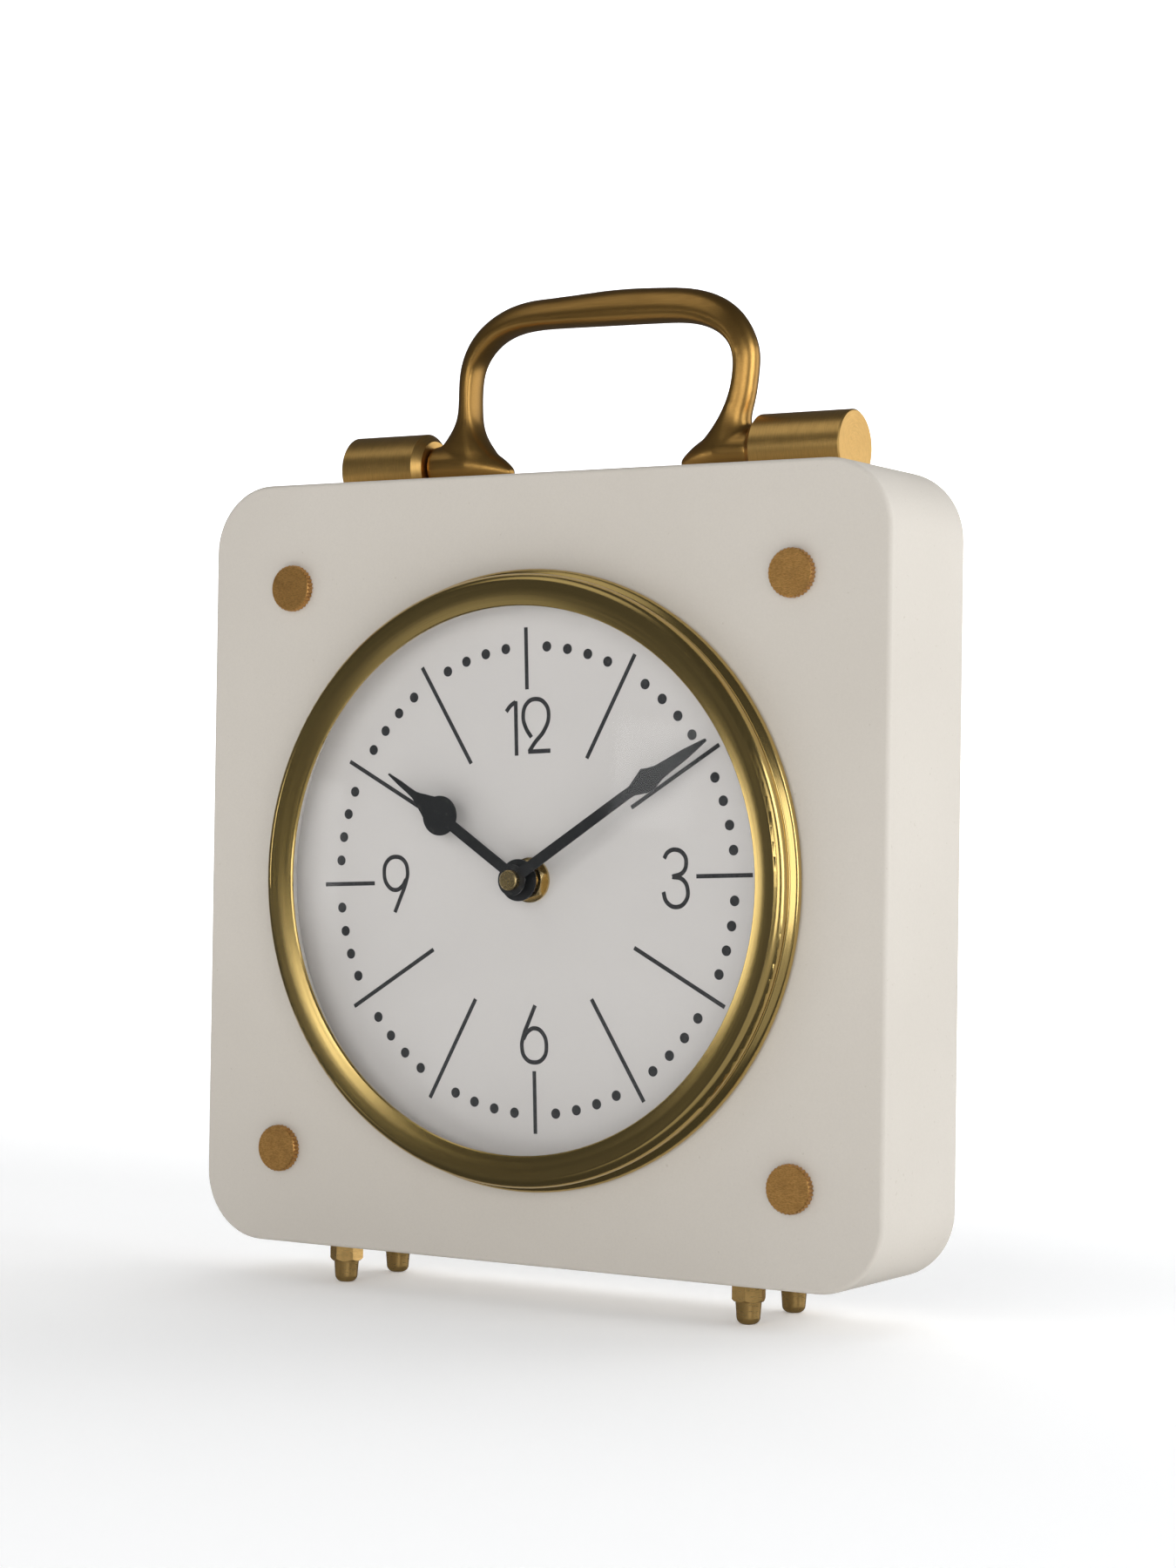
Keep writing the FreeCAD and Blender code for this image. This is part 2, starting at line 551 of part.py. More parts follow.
# ---------------------------------------------------------------- bezel, glass and dial
def spun_outline(start, pieces, x, z):
    """Solid of revolution about a Y line; each piece is a line to one corner or an arc by two."""
    first = Vec(x + start[0], start[1], z)
    spot = first
    edges = []
    for piece in pieces:
        places = [Vec(x + radius, y, z) for radius, y in piece]
        if len(places) == 2:
            edges.append(Part.Arc(spot, places[0], places[1]).toShape())
        else:
            edges.append(Part.makeLine(spot, places[0]))
        spot = places[-1]
    edges.append(Part.makeLine(spot, first))
    return Part.Face(Part.Wire(edges)).revolve(Vec(x, 0, z), Y_AXIS, 360)


def make_bezel():
    """Spun ring: a slightly rounded cone, a round crest, a groove, and a bead lying on the case."""
    slope = (BEZEL_CREST - BEZEL_LIP) / (BEZEL_CREST_RADIUS - BEZEL_SIGHT_RADIUS)
    middle = (BEZEL_CREST_RADIUS + BEZEL_SIGHT_RADIUS) / 2 - 0.6
    middle_height = BEZEL_LIP + slope * (middle - BEZEL_SIGHT_RADIUS) + BEZEL_CONE_BULGE
    inner_wall = BEZEL_SKIRT_RADIUS - BEZEL_SHEET
    inner_cone = inner_wall - 1.8
    lip_back = BEZEL_SHEET - BEZEL_LIP
    pieces = [
        [(BEZEL_SKIRT_RADIUS, 0)],
        [(BEZEL_RADIUS - 0.4, 0)],
        [(BEZEL_RADIUS, -BEZEL_BEAD), (BEZEL_RADIUS - 0.9, -BEZEL_BEAD - 1.3)],
        [(BEZEL_GROOVE_RADIUS + 0.5, -BEZEL_GROOVE + 0.7)],
        [(BEZEL_GROOVE_RADIUS, -BEZEL_GROOVE), (BEZEL_GROOVE_RADIUS + 0.35, -BEZEL_GROOVE - 0.8)],
        [(BEZEL_SHOULDER_RADIUS, -BEZEL_GROOVE - 1.8),
         (BEZEL_SHOULDER_RADIUS - 0.1, -BEZEL_SHOULDER + 0.7)],
        [(BEZEL_CREST_RADIUS + 0.9, -BEZEL_CREST + 0.7), (BEZEL_CREST_RADIUS - 0.6, -BEZEL_CREST)],
        [(middle, -middle_height), (BEZEL_SIGHT_RADIUS + 0.3, -BEZEL_LIP)],
        [(BEZEL_SIGHT_RADIUS, -BEZEL_LIP + 0.3)],
        [(BEZEL_SIGHT_RADIUS, lip_back)],
        [(inner_cone, lip_back - slope * (inner_cone - BEZEL_SIGHT_RADIUS))],
        [(inner_wall, -BEZEL_SHOULDER + BEZEL_SHEET)],
        [(inner_wall, DIAL_SUNK)],
    ]
    pieces = [[(radius, FRONT + depth) for radius, depth in piece] for piece in pieces]
    parts["bezel"] = spun_outline((BEZEL_SKIRT_RADIUS, DIAL_FACE), pieces, 0, DIAL_Z)


def dome_rise(radius):
    """Height of the glass dome above its rim at a radius."""
    dome_radius = GLASS_RADIUS - GLASS_RIM
    sphere = (dome_radius ** 2 + GLASS_SAG ** 2) / (2 * GLASS_SAG)
    if radius >= dome_radius:
        return 0.0
    return math.sqrt(sphere ** 2 - radius ** 2) - (sphere - GLASS_SAG)


def make_glass():
    dome_radius = GLASS_RADIUS - GLASS_RIM
    rim_front = FRONT - GLASS_FRONT
    rim_back = rim_front + GLASS_THICKNESS

    def arc(offset):
        middle = dome_radius / 2
        return Part.Arc(Vec(0, offset - GLASS_SAG, DIAL_Z),
                        Vec(middle, offset - dome_rise(middle), DIAL_Z),
                        Vec(dome_radius, offset, DIAL_Z)).toShape()

    edges = [
        arc(rim_front),
        Part.makeLine(Vec(dome_radius, rim_front, DIAL_Z), Vec(GLASS_RADIUS, rim_front, DIAL_Z)),
        Part.makeLine(Vec(GLASS_RADIUS, rim_front, DIAL_Z), Vec(GLASS_RADIUS, rim_back, DIAL_Z)),
        Part.makeLine(Vec(GLASS_RADIUS, rim_back, DIAL_Z), Vec(dome_radius, rim_back, DIAL_Z)),
        arc(rim_back),
        Part.makeLine(Vec(0, rim_back - GLASS_SAG, DIAL_Z), Vec(0, rim_front - GLASS_SAG, DIAL_Z)),
    ]
    face = Part.Face(Part.Wire(Part.__sortEdges__(edges)))
    parts["glass_lens"] = face.revolve(Vec(0, 0, DIAL_Z), Y_AXIS, 360)


def make_lens_retainer():
    """Pale ring that holds the glass off the dial; its inner face slopes out towards the dial."""
    glass_back = FRONT - GLASS_FRONT + GLASS_THICKNESS
    outer = BEZEL_SKIRT_RADIUS - BEZEL_SHEET - SLIP
    outline = [
        (RETAINER_GLASS_RADIUS, glass_back),
        (GLASS_RADIUS + SLIP, glass_back),
        (GLASS_RADIUS + SLIP, glass_back - RETAINER_LIP),
        (outer, glass_back - RETAINER_LIP),
        (outer, DIAL_FACE - SLIP),
        (RETAINER_DIAL_RADIUS, DIAL_FACE - SLIP),
    ]
    parts["lens_retainer"] = lathe(outline, 0, DIAL_Z)


def make_dial():
    parts["dial_plate"] = ring(BUSH_RADIUS + DIAL_HOLE_GAP, DIAL_RADIUS, DIAL_FACE, DIAL_BACK, 0, DIAL_Z)


# ---------------------------------------------------------------- handle
def d_section(x, rise, direction, outside, inside, half_depth):
    """Closed outline of the bow: two half ellipses of different thickness sharing a crease."""
    angle = math.radians(direction)
    points = []
    for index in range(BOW_SECTION_POINTS):
        turn = 2 * math.pi * index / BOW_SECTION_POINTS
        reach = math.cos(turn) * (outside if math.cos(turn) > 0 else inside)
        points.append(Vec(x + reach * math.cos(angle), PIVOT_Y + half_depth * math.sin(turn),
                          PIVOT_Z + rise + reach * math.sin(angle)))
    curve = Part.BSplineCurve()
    curve.interpolate(Points=points, PeriodicFlag=True)
    return Part.Wire([curve.toShape()])


def circle_section(x, rise, radius):
    return Part.Wire([Part.Circle(Vec(x, PIVOT_Y, PIVOT_Z + rise), X_AXIS, radius).toShape()])


def make_handle():
    bow = Part.makeLoft([d_section(*row) for row in BOW_SECTIONS], True, False)
    pieces = [bow]
    for side, inner in ((-1, LEFT_SOCKET_INNER_X), (1, RIGHT_SOCKET_INNER_X)):
        end = inner - SOCKET_GAP
        root = BEAK_X + 14.0
        barrel = Part.makeCylinder(BARREL_RADIUS, end - root, Vec(side * root, PIVOT_Y, PIVOT_Z),
                                   X_AXIS * side)
        middle = (root + BEAK_X) / 2
        beak = Part.makeLoft([circle_section(side * root, 0, BARREL_RADIUS),
                              circle_section(side * middle, -0.3 * BEAK_DROP, 0.72 * BARREL_RADIUS),
                              circle_section(side * BEAK_X, -BEAK_DROP, BEAK_RADIUS)], True, False)
        pieces += [barrel, beak]
    handle = pieces[0].fuse(pieces[1:])
    for side, inner in ((-1, LEFT_SOCKET_INNER_X), (1, RIGHT_SOCKET_INNER_X)):
        end = inner - SOCKET_GAP
        handle = handle.cut(Part.makeCylinder(PIN_RADIUS + RUNNING, PIN_IN_HANDLE + 2,
                                              Vec(side * (end + 1), PIVOT_Y, PIVOT_Z), X_AXIS * -side))
    parts["handle"] = handle


def make_socket(name, low, high, inner_side):
    """Bar with a flat underside; its hinge end is chamfered and bored for the pin."""
    bar = Part.makeCylinder(SOCKET_RADIUS, high - low, Vec(low, PIVOT_Y, PIVOT_Z), X_AXIS)
    inner_x, outer_x = (high, low) if inner_side > 0 else (low, high)
    for end_x, size in ((inner_x, SOCKET_CHAMFER), (outer_x, SOCKET_EDGE)):
        rim = [edge for edge in bar.Edges
               if edge.BoundBox.XLength < 0.01 and abs(edge.BoundBox.XMin - end_x) < 0.01]
        bar = bar.makeChamfer(size, rim)
    bar = bar.cut(block(low - 1, high + 1, PIVOT_Y - 2 * SOCKET_RADIUS, PIVOT_Y + 2 * SOCKET_RADIUS,
                        PIVOT_Z - 2 * SOCKET_RADIUS, CASE_TOP))
    bore = Part.makeCylinder(PIN_RADIUS + RUNNING / 2, PIN_IN_SOCKET + 1 + SLIP,
                             Vec(inner_x + inner_side, PIVOT_Y, PIVOT_Z), X_AXIS * -inner_side)
    bar = bar.cut(bore)
    for x in (low + SOCKET_SCREW_INSET, high - SOCKET_SCREW_INSET):
        bar = bar.cut(Part.makeCylinder(SOCKET_SCREW_RADIUS + SLIP, SOCKET_SCREW_GRIP + SLIP,
                                        Vec(x, PIVOT_Y, CASE_TOP - 0.5), Z_AXIS))
    parts[name] = bar


def make_handle_mounts():
    (left_low, left_high), (right_low, right_high) = socket_ends()
    make_socket("left_socket", left_low, left_high, 1)
    make_socket("right_socket", right_low, right_high, -1)
    pins = []
    for side, inner in ((-1, LEFT_SOCKET_INNER_X), (1, RIGHT_SOCKET_INNER_X)):
        length = PIN_IN_SOCKET + SOCKET_GAP + PIN_IN_HANDLE
        pins.append(Part.makeCylinder(PIN_RADIUS, length,
                                      Vec(side * (inner + PIN_IN_SOCKET), PIVOT_Y, PIVOT_Z),
                                      X_AXIS * -side))
    parts["hinge_pins"] = Part.makeCompound(pins)
    screws = []
    seat = CASE_TOP - CASE_WALL
    for x in socket_screw_spots():
        shank = Part.makeCylinder(SOCKET_SCREW_RADIUS, CASE_WALL + SOCKET_SCREW_GRIP - 1.0,
                                  Vec(x, PIVOT_Y, seat), Z_AXIS)
        head = Part.makeCylinder(SOCKET_SCREW_HEAD_RADIUS, SOCKET_SCREW_HEAD,
                                 Vec(x, PIVOT_Y, seat - SOCKET_SCREW_HEAD), Z_AXIS)
        screws.append(fuse_all([shank, head]))
    parts["socket_screws"] = Part.makeCompound(screws)


# ---------------------------------------------------------------- hands
def turned_to(shape, clockwise):
    """Turn a hand drawn pointing straight up about the dial's centre."""
    turned = shape.copy()
    turned.rotate(Vec(0, 0, DIAL_Z), Y_AXIS, clockwise)
    return turned


def blade(half_outline, front, back):
    """Symmetrical flat blade pointing up from (half width, distance from the centre) corners."""
    right = [Vec(half, front, DIAL_Z + reach) for half, reach in half_outline]
    left = [Vec(-half, front, DIAL_Z + reach) for half, reach in reversed(half_outline)]
    face = Part.Face(Part.makePolygon(right + left + right[:1]))
    return face.extrude(Vec(0, back - front, 0))


def make_hour_hand():
    front = HOUR_HAND_FRONT
    back = front + HAND_SHEET
    bar = blade([(1.6, 0), (1.6, 31.0)], front, back)
    bulb = disc(5.8, front, back, 0, DIAL_Z + 33.0)
    tip = blade([(3.7, 37.4), (3.0, 39.0), (2.3, 40.8), (1.6, 42.4), (1.1, 44.0), (0.9, 46.5),
                 (0.75, 50.0), (0.25, HOUR_LENGTH)], front, back)
    hub = disc(HOUR_HUB_RADIUS, front, back, 0, DIAL_Z)
    collet = disc(HOUR_COLLET_RADIUS, back, back + HOUR_COLLET, 0, DIAL_Z)
    hand = fuse_all([bar, bulb, tip, hub, collet])
    hand = hand.cut(disc(HOUR_TUBE_RADIUS, front - 1, back + HOUR_COLLET + 1, 0, DIAL_Z))
    parts["hour_hand"] = turned_to(hand, HOUR_ANGLE)


def make_minute_hand():
    front = MINUTE_HAND_FRONT
    back = front + HAND_SHEET
    reach = MINUTE_LENGTH
    outline = blade([(1.65, 0), (1.5, 47.0), (3.8, 52.6), (2.9, 54.4), (2.2, 56.8), (1.9, 60.0),
                     (1.5, 66.0), (0.4, reach)], front - 5, back + 5)
    side = [(0, front), (MINUTE_BEND_START, front), (reach + 1, front + MINUTE_BEND_DROP),
            (reach + 1, back + MINUTE_BEND_DROP), (MINUTE_BEND_START, back), (0, back)]
    corners = [Vec(-8, y, DIAL_Z + distance) for distance, y in side]
    sheet = Part.Face(Part.makePolygon(corners + corners[:1])).extrude(Vec(16, 0, 0))
    hub = disc(MINUTE_HUB_RADIUS, front, back, 0, DIAL_Z)
    collet = disc(MINUTE_COLLET_RADIUS, back, back + MINUTE_COLLET, 0, DIAL_Z)
    hand = outline.common(sheet).fuse([hub, collet])
    hand = hand.cut(disc(MINUTE_ARBOR_RADIUS, front - 1, back + MINUTE_COLLET + 1, 0, DIAL_Z))
    parts["minute_hand"] = turned_to(hand, MINUTE_ANGLE)


def make_cap_nut():
    cap = disc(CAP_RADIUS, CAP_FRONT, MINUTE_HAND_FRONT, 0, DIAL_Z)
    edge = [item for item in cap.Edges if item.BoundBox.YMax < CAP_FRONT + 0.01]
    cap = cap.makeChamfer(0.3, edge)
    bore = disc(MINUTE_ARBOR_RADIUS, MINUTE_HAND_FRONT - 1.2, MINUTE_HAND_FRONT + 1, 0, DIAL_Z)
    parts["cap_nut"] = cap.cut(bore)


def make_shaft_fixing():
    """Washer and nut on the dial, the threaded bush they grip and the pad behind the dial."""
    parts["shaft_washer"] = ring(BUSH_RADIUS + SLIP, WASHER_RADIUS, WASHER_FRONT, DIAL_FACE, 0, DIAL_Z)
    nut = hexagon(NUT_ACROSS_FLATS, NUT_FRONT, NUT_THICKNESS, 0, DIAL_Z, 12, Y_AXIS)
    bevel_radius = NUT_ACROSS_FLATS / 2 + 0.1
    bevel = Part.makeCone(bevel_radius, bevel_radius + 2 * NUT_THICKNESS, 2 * NUT_THICKNESS,
                          Vec(0, NUT_FRONT, DIAL_Z), Y_AXIS)
    nut = nut.common(bevel)
    parts["shaft_nut"] = nut.cut(disc(BUSH_RADIUS, NUT_FRONT - 1, NUT_FRONT + 9, 0, DIAL_Z))
    bush = disc(BUSH_RADIUS, BUSH_FRONT, ROOM_FRONT, 0, DIAL_Z)
    flange = disc(BUSH_RADIUS + BUSH_FLANGE, ROOM_FRONT - BUSH_FLANGE_THICKNESS, ROOM_FRONT, 0, DIAL_Z)
    bore = disc(HOUR_TUBE_RADIUS + RUNNING, BUSH_FRONT - 1, ROOM_FRONT + 1, 0, DIAL_Z)
    parts["shaft_bush"] = fuse_all([bush, flange]).cut(bore)
    parts["dial_gasket"] = ring(BUSH_RADIUS + DIAL_HOLE_GAP, GASKET_RADIUS, DIAL_BACK, MOVEMENT_FRONT,
                                0, DIAL_Z)


# ---------------------------------------------------------------- movement housing
def train_spots():
    return THIRD_SPOT, SECONDS_SPOT, INTERMEDIATE_SPOT, ROTOR_SPOT


def make_front_shell():
    shell = rounded_slab(MOVEMENT_SIZE, MOVEMENT_SIZE, MOVEMENT_CORNER, MOVEMENT_FRONT, MOVEMENT_BACK,
                         0, DIAL_Z)
    room = block(-ROOM_HALF, ROOM_HALF, ROOM_FRONT, MOVEMENT_BACK + 1,
                 DIAL_Z + ROOM_BOTTOM, DIAL_Z + ROOM_HALF)
    bay = block(-ROOM_HALF, ROOM_HALF, ROOM_FRONT, MOVEMENT_BACK + 1,
                DIAL_Z - ROOM_HALF, DIAL_Z + BAY_TOP)
    cover_space = block(-HALF - 1, HALF + 1, COVER_FRONT, MOVEMENT_BACK + 1,
                        DIAL_Z + BAY_TOP, DIAL_Z + HALF + 1)
    shell = shell.cut([room, bay, cover_space])
    additions = []
    for x, z in POST_SPOTS:
        additions.append(disc(POST_RADIUS, ROOM_FRONT - 0.5, COVER_FRONT, x, z))
    for x, z in STATOR_POSTS:
        additions.append(disc(STATOR_POST_RADIUS, ROOM_FRONT - 0.5, STATOR_Y, x, z))
    additions.append(disc(MINUTE_POST_RADIUS, ROOM_FRONT - 0.5, CENTRE_Y - 0.2, *MINUTE_WHEEL_SPOT))
    shell = fuse_all([shell] + additions)
    cuts = [
        disc(BUSH_RADIUS + SLIP, MOVEMENT_FRONT - 1, ROOM_FRONT + 1, 0, DIAL_Z),
        disc(BUSH_RADIUS + BUSH_FLANGE + SLIP, ROOM_FRONT - BUSH_FLANGE_THICKNESS, ROOM_FRONT + 1,
             0, DIAL_Z),
        disc(PIVOT_RADIUS + RUNNING, ROOM_FRONT - PIVOT_DEPTH - SLIP, ROOM_FRONT + 1, *SETTING_SPOT),
    ]
    for x, z in train_spots():
        cuts.append(disc(PIVOT_RADIUS + RUNNING, ROOM_FRONT - PIVOT_DEPTH - SLIP, ROOM_FRONT + 1, x, z))
    for x, z in POST_SPOTS:
        cuts.append(disc(HOUSING_SCREW_RADIUS, COVER_FRONT - HOUSING_SCREW_GRIP, COVER_FRONT + 1, x, z))
    slot_back = STRIP_Y + STRIP_WIDTH + SLIP
    for side in (-1, 1):
        low, high = sorted((side * (ROOM_HALF + SLIP), side * (ROOM_HALF - CONTACT_THICKNESS - SLIP)))
        cuts.append(block(low, high, STRIP_Y - SLIP, slot_back, DIAL_Z + BAY_TOP - 0.5,
                          DIAL_Z + ROOM_BOTTOM + 0.5))
    parts["movement_front_shell"] = shell.cut(cuts)


def make_cover():
    cover = rounded_slab(MOVEMENT_SIZE, MOVEMENT_SIZE, MOVEMENT_CORNER, COVER_FRONT, MOVEMENT_BACK,
                         0, DIAL_Z)
    cover = cover.cut(block(-HALF - 1, HALF + 1, COVER_FRONT - 1, MOVEMENT_BACK + 1,
                            DIAL_Z - HALF - 1, DIAL_Z + BAY_TOP))
    additions = []
    for x, z in BOARD_POSTS:
        additions.append(disc(BOARD_POST_RADIUS, BOARD_FRONT + BOARD_THICKNESS, COVER_FRONT + 0.5, x, z))
    for x, z in STATOR_POSTS:
        additions.append(disc(STATOR_POST_RADIUS, STATOR_Y + STATOR_THICKNESS, COVER_FRONT + 0.5, x, z))
    cover = fuse_all([cover] + additions)
    cuts = [disc(SETTING_ARBOR_RADIUS + RUNNING, COVER_FRONT - 1, MOVEMENT_BACK + 1, *SETTING_SPOT)]
    for x, z in train_spots() + (CENTRE_SPOT,):
        cuts.append(disc(PIVOT_RADIUS + RUNNING, COVER_FRONT - 1, COVER_FRONT + PIVOT_DEPTH + SLIP, x, z))
    for x, z in POST_SPOTS:
        cuts.append(disc(HOUSING_SCREW_RADIUS + SLIP, COVER_FRONT - 1, MOVEMENT_BACK + 1, x, z))
    parts["movement_cover"] = cover.cut(cuts)
    screws = []
    for x, z in POST_SPOTS:
        shank = disc(HOUSING_SCREW_RADIUS, COVER_FRONT - HOUSING_SCREW_GRIP + SLIP, MOVEMENT_BACK, x, z)
        head = disc(HOUSING_SCREW_HEAD_RADIUS, MOVEMENT_BACK, MOVEMENT_BACK + HOUSING_SCREW_HEAD, x, z)
        screws.append(fuse_all([shank, head]))
    parts["movement_screws"] = Part.makeCompound(screws)


# ---------------------------------------------------------------- wheels
def pivoted_arbor(radius, x, z):
    """Arbor across the wheel room with a thinner pivot at each end."""
    body = disc(radius, ROOM_FRONT + END_PLAY, COVER_FRONT - END_PLAY, x, z)
    front_pivot = disc(PIVOT_RADIUS, ROOM_FRONT - PIVOT_DEPTH, ROOM_FRONT + 0.5, x, z)
    rear_pivot = disc(PIVOT_RADIUS, COVER_FRONT - 0.5, COVER_FRONT + PIVOT_DEPTH, x, z)
    return body.fuse([front_pivot, rear_pivot])


def direction_between(start, end):
    return math.degrees(math.atan2(end[1] - start[1], end[0] - start[0]))


def driving_wheel(teeth, module, front, spot, next_spot):
    """Wheel with a tooth pointing at the pinion it drives."""
    return gear(teeth, module, front, WHEEL_THICKNESS, *spot, direction_between(spot, next_spot))


def driven_pinion(module, wheel_front, spot, driver_spot):
    """Pinion with a gap facing the wheel that drives it, a little longer than the wheel is thick."""
    gap_direction = direction_between(spot, driver_spot)
    extra = (PINION_THICKNESS - WHEEL_THICKNESS) / 2
    return gear(TRAIN_PINION_TEETH, module, wheel_front - extra, PINION_THICKNESS, *spot,
                gap_direction + 180 / TRAIN_PINION_TEETH)


def make_motion_work():
    """Minute arbor, hour wheel, minute wheel and the setting pinion, geared 12 to 1."""
    arbor = disc(MINUTE_ARBOR_RADIUS, MINUTE_HAND_FRONT - 1.0, MINUTE_WHEEL_Y + PINION_THICKNESS,
                 0, DIAL_Z)
    cannon = gear(CANNON_TEETH, MOTION_MODULE, MINUTE_WHEEL_Y, PINION_THICKNESS, *CENTRE_SPOT, 90)
    rear = disc(CENTRE_ARBOR_RADIUS, MINUTE_WHEEL_Y, COVER_FRONT - END_PLAY, 0, DIAL_Z)
    collar_front = CENTRE_Y + WHEEL_THICKNESS + END_PLAY
    collar = disc(CENTRE_ARBOR_RADIUS + 1.0, collar_front, collar_front + 0.6, 0, DIAL_Z)
    pivot = disc(PIVOT_RADIUS, COVER_FRONT - 0.5, COVER_FRONT + PIVOT_DEPTH, 0, DIAL_Z)
    parts["minute_arbor"] = arbor.fuse([cannon, rear, collar, pivot])

    wheel = gear(HOUR_WHEEL_TEETH, HOUR_MODULE, HOUR_WHEEL_Y, WHEEL_THICKNESS, *CENTRE_SPOT,
                 90 + 180 / HOUR_WHEEL_TEETH)
    tube = disc(HOUR_TUBE_RADIUS, HOUR_HAND_FRONT - 0.2, HOUR_WHEEL_Y + PINION_THICKNESS, 0, DIAL_Z)
    bore = disc(MINUTE_ARBOR_RADIUS + RUNNING, HOUR_HAND_FRONT - 1, MINUTE_WHEEL_Y, 0, DIAL_Z)
    parts["hour_wheel"] = wheel.fuse(tube).cut(bore)

    extra = (PINION_THICKNESS - WHEEL_THICKNESS) / 2
    wheel = gear(MINUTE_WHEEL_TEETH, MOTION_MODULE, MINUTE_WHEEL_Y + extra, WHEEL_THICKNESS,
                 *MINUTE_WHEEL_SPOT, 90 + 180 / MINUTE_WHEEL_TEETH)
    pinion = gear(MINUTE_PINION_TEETH, HOUR_MODULE, HOUR_WHEEL_Y - extra,
                  MINUTE_WHEEL_Y - HOUR_WHEEL_Y + 2 * extra, *MINUTE_WHEEL_SPOT, 270)
    bore = disc(MINUTE_POST_RADIUS + RUNNING, ROOM_FRONT, CENTRE_Y, *MINUTE_WHEEL_SPOT)
    parts["minute_wheel"] = wheel.fuse(pinion).cut(bore)

    pinion = gear(SETTING_TEETH, MOTION_MODULE, MINUTE_WHEEL_Y, PINION_THICKNESS, *SETTING_SPOT, 270)
    knob_back = MOVEMENT_BACK + KNOB_GAP + KNOB_THICKNESS
    arbor = disc(SETTING_ARBOR_RADIUS, ROOM_FRONT + END_PLAY, knob_back - 1.0, *SETTING_SPOT)
    pivot = disc(PIVOT_RADIUS, ROOM_FRONT - PIVOT_DEPTH, ROOM_FRONT + 0.5, *SETTING_SPOT)
    parts["setting_arbor"] = pinion.fuse([arbor, pivot])
    knob = scalloped_disc(KNOB_RADIUS, KNOB_RIDGES, KNOB_RIDGE_DEPTH, MOVEMENT_BACK + KNOB_GAP, knob_back,
                          *SETTING_SPOT)
    parts["setting_knob"] = knob.cut(disc(SETTING_ARBOR_RADIUS, MOVEMENT_BACK, knob_back - 1.0,
                                          *SETTING_SPOT))


def make_train():
    """Wheels that turn the minute arbor from the motor, with a slipping fit on the minute arbor."""
    centre = driving_wheel(CENTRE_TEETH, CENTRE_MODULE, CENTRE_Y, CENTRE_SPOT, THIRD_SPOT)
    bore = disc(CENTRE_ARBOR_RADIUS + RUNNING, CENTRE_Y - 1, CENTRE_Y + 2, 0, DIAL_Z)
    parts["centre_wheel"] = centre.cut(bore)
    third = driving_wheel(THIRD_TEETH, THIRD_MODULE, THIRD_Y, THIRD_SPOT, SECONDS_SPOT)
    pinion = driven_pinion(CENTRE_MODULE, CENTRE_Y, THIRD_SPOT, CENTRE_SPOT)
    parts["third_wheel"] = third.fuse([pinion, pivoted_arbor(ARBOR_RADIUS, *THIRD_SPOT)])
    seconds = driving_wheel(SECONDS_TEETH, SECONDS_MODULE, SECONDS_Y, SECONDS_SPOT, INTERMEDIATE_SPOT)
    pinion = driven_pinion(THIRD_MODULE, THIRD_Y, SECONDS_SPOT, THIRD_SPOT)
    parts["seconds_wheel"] = seconds.fuse([pinion, pivoted_arbor(ARBOR_RADIUS, *SECONDS_SPOT)])
    inter = driving_wheel(INTERMEDIATE_TEETH, ROTOR_MODULE, INTERMEDIATE_Y, INTERMEDIATE_SPOT, ROTOR_SPOT)
    pinion = driven_pinion(SECONDS_MODULE, SECONDS_Y, INTERMEDIATE_SPOT, SECONDS_SPOT)
    parts["intermediate_wheel"] = inter.fuse([pinion, pivoted_arbor(ARBOR_RADIUS * 0.8,
                                                                    *INTERMEDIATE_SPOT)])
    pinion = driven_pinion(ROTOR_MODULE, INTERMEDIATE_Y, ROTOR_SPOT, INTERMEDIATE_SPOT)
    parts["rotor_arbor"] = pinion.fuse(pivoted_arbor(ROTOR_ARBOR_RADIUS, *ROTOR_SPOT))


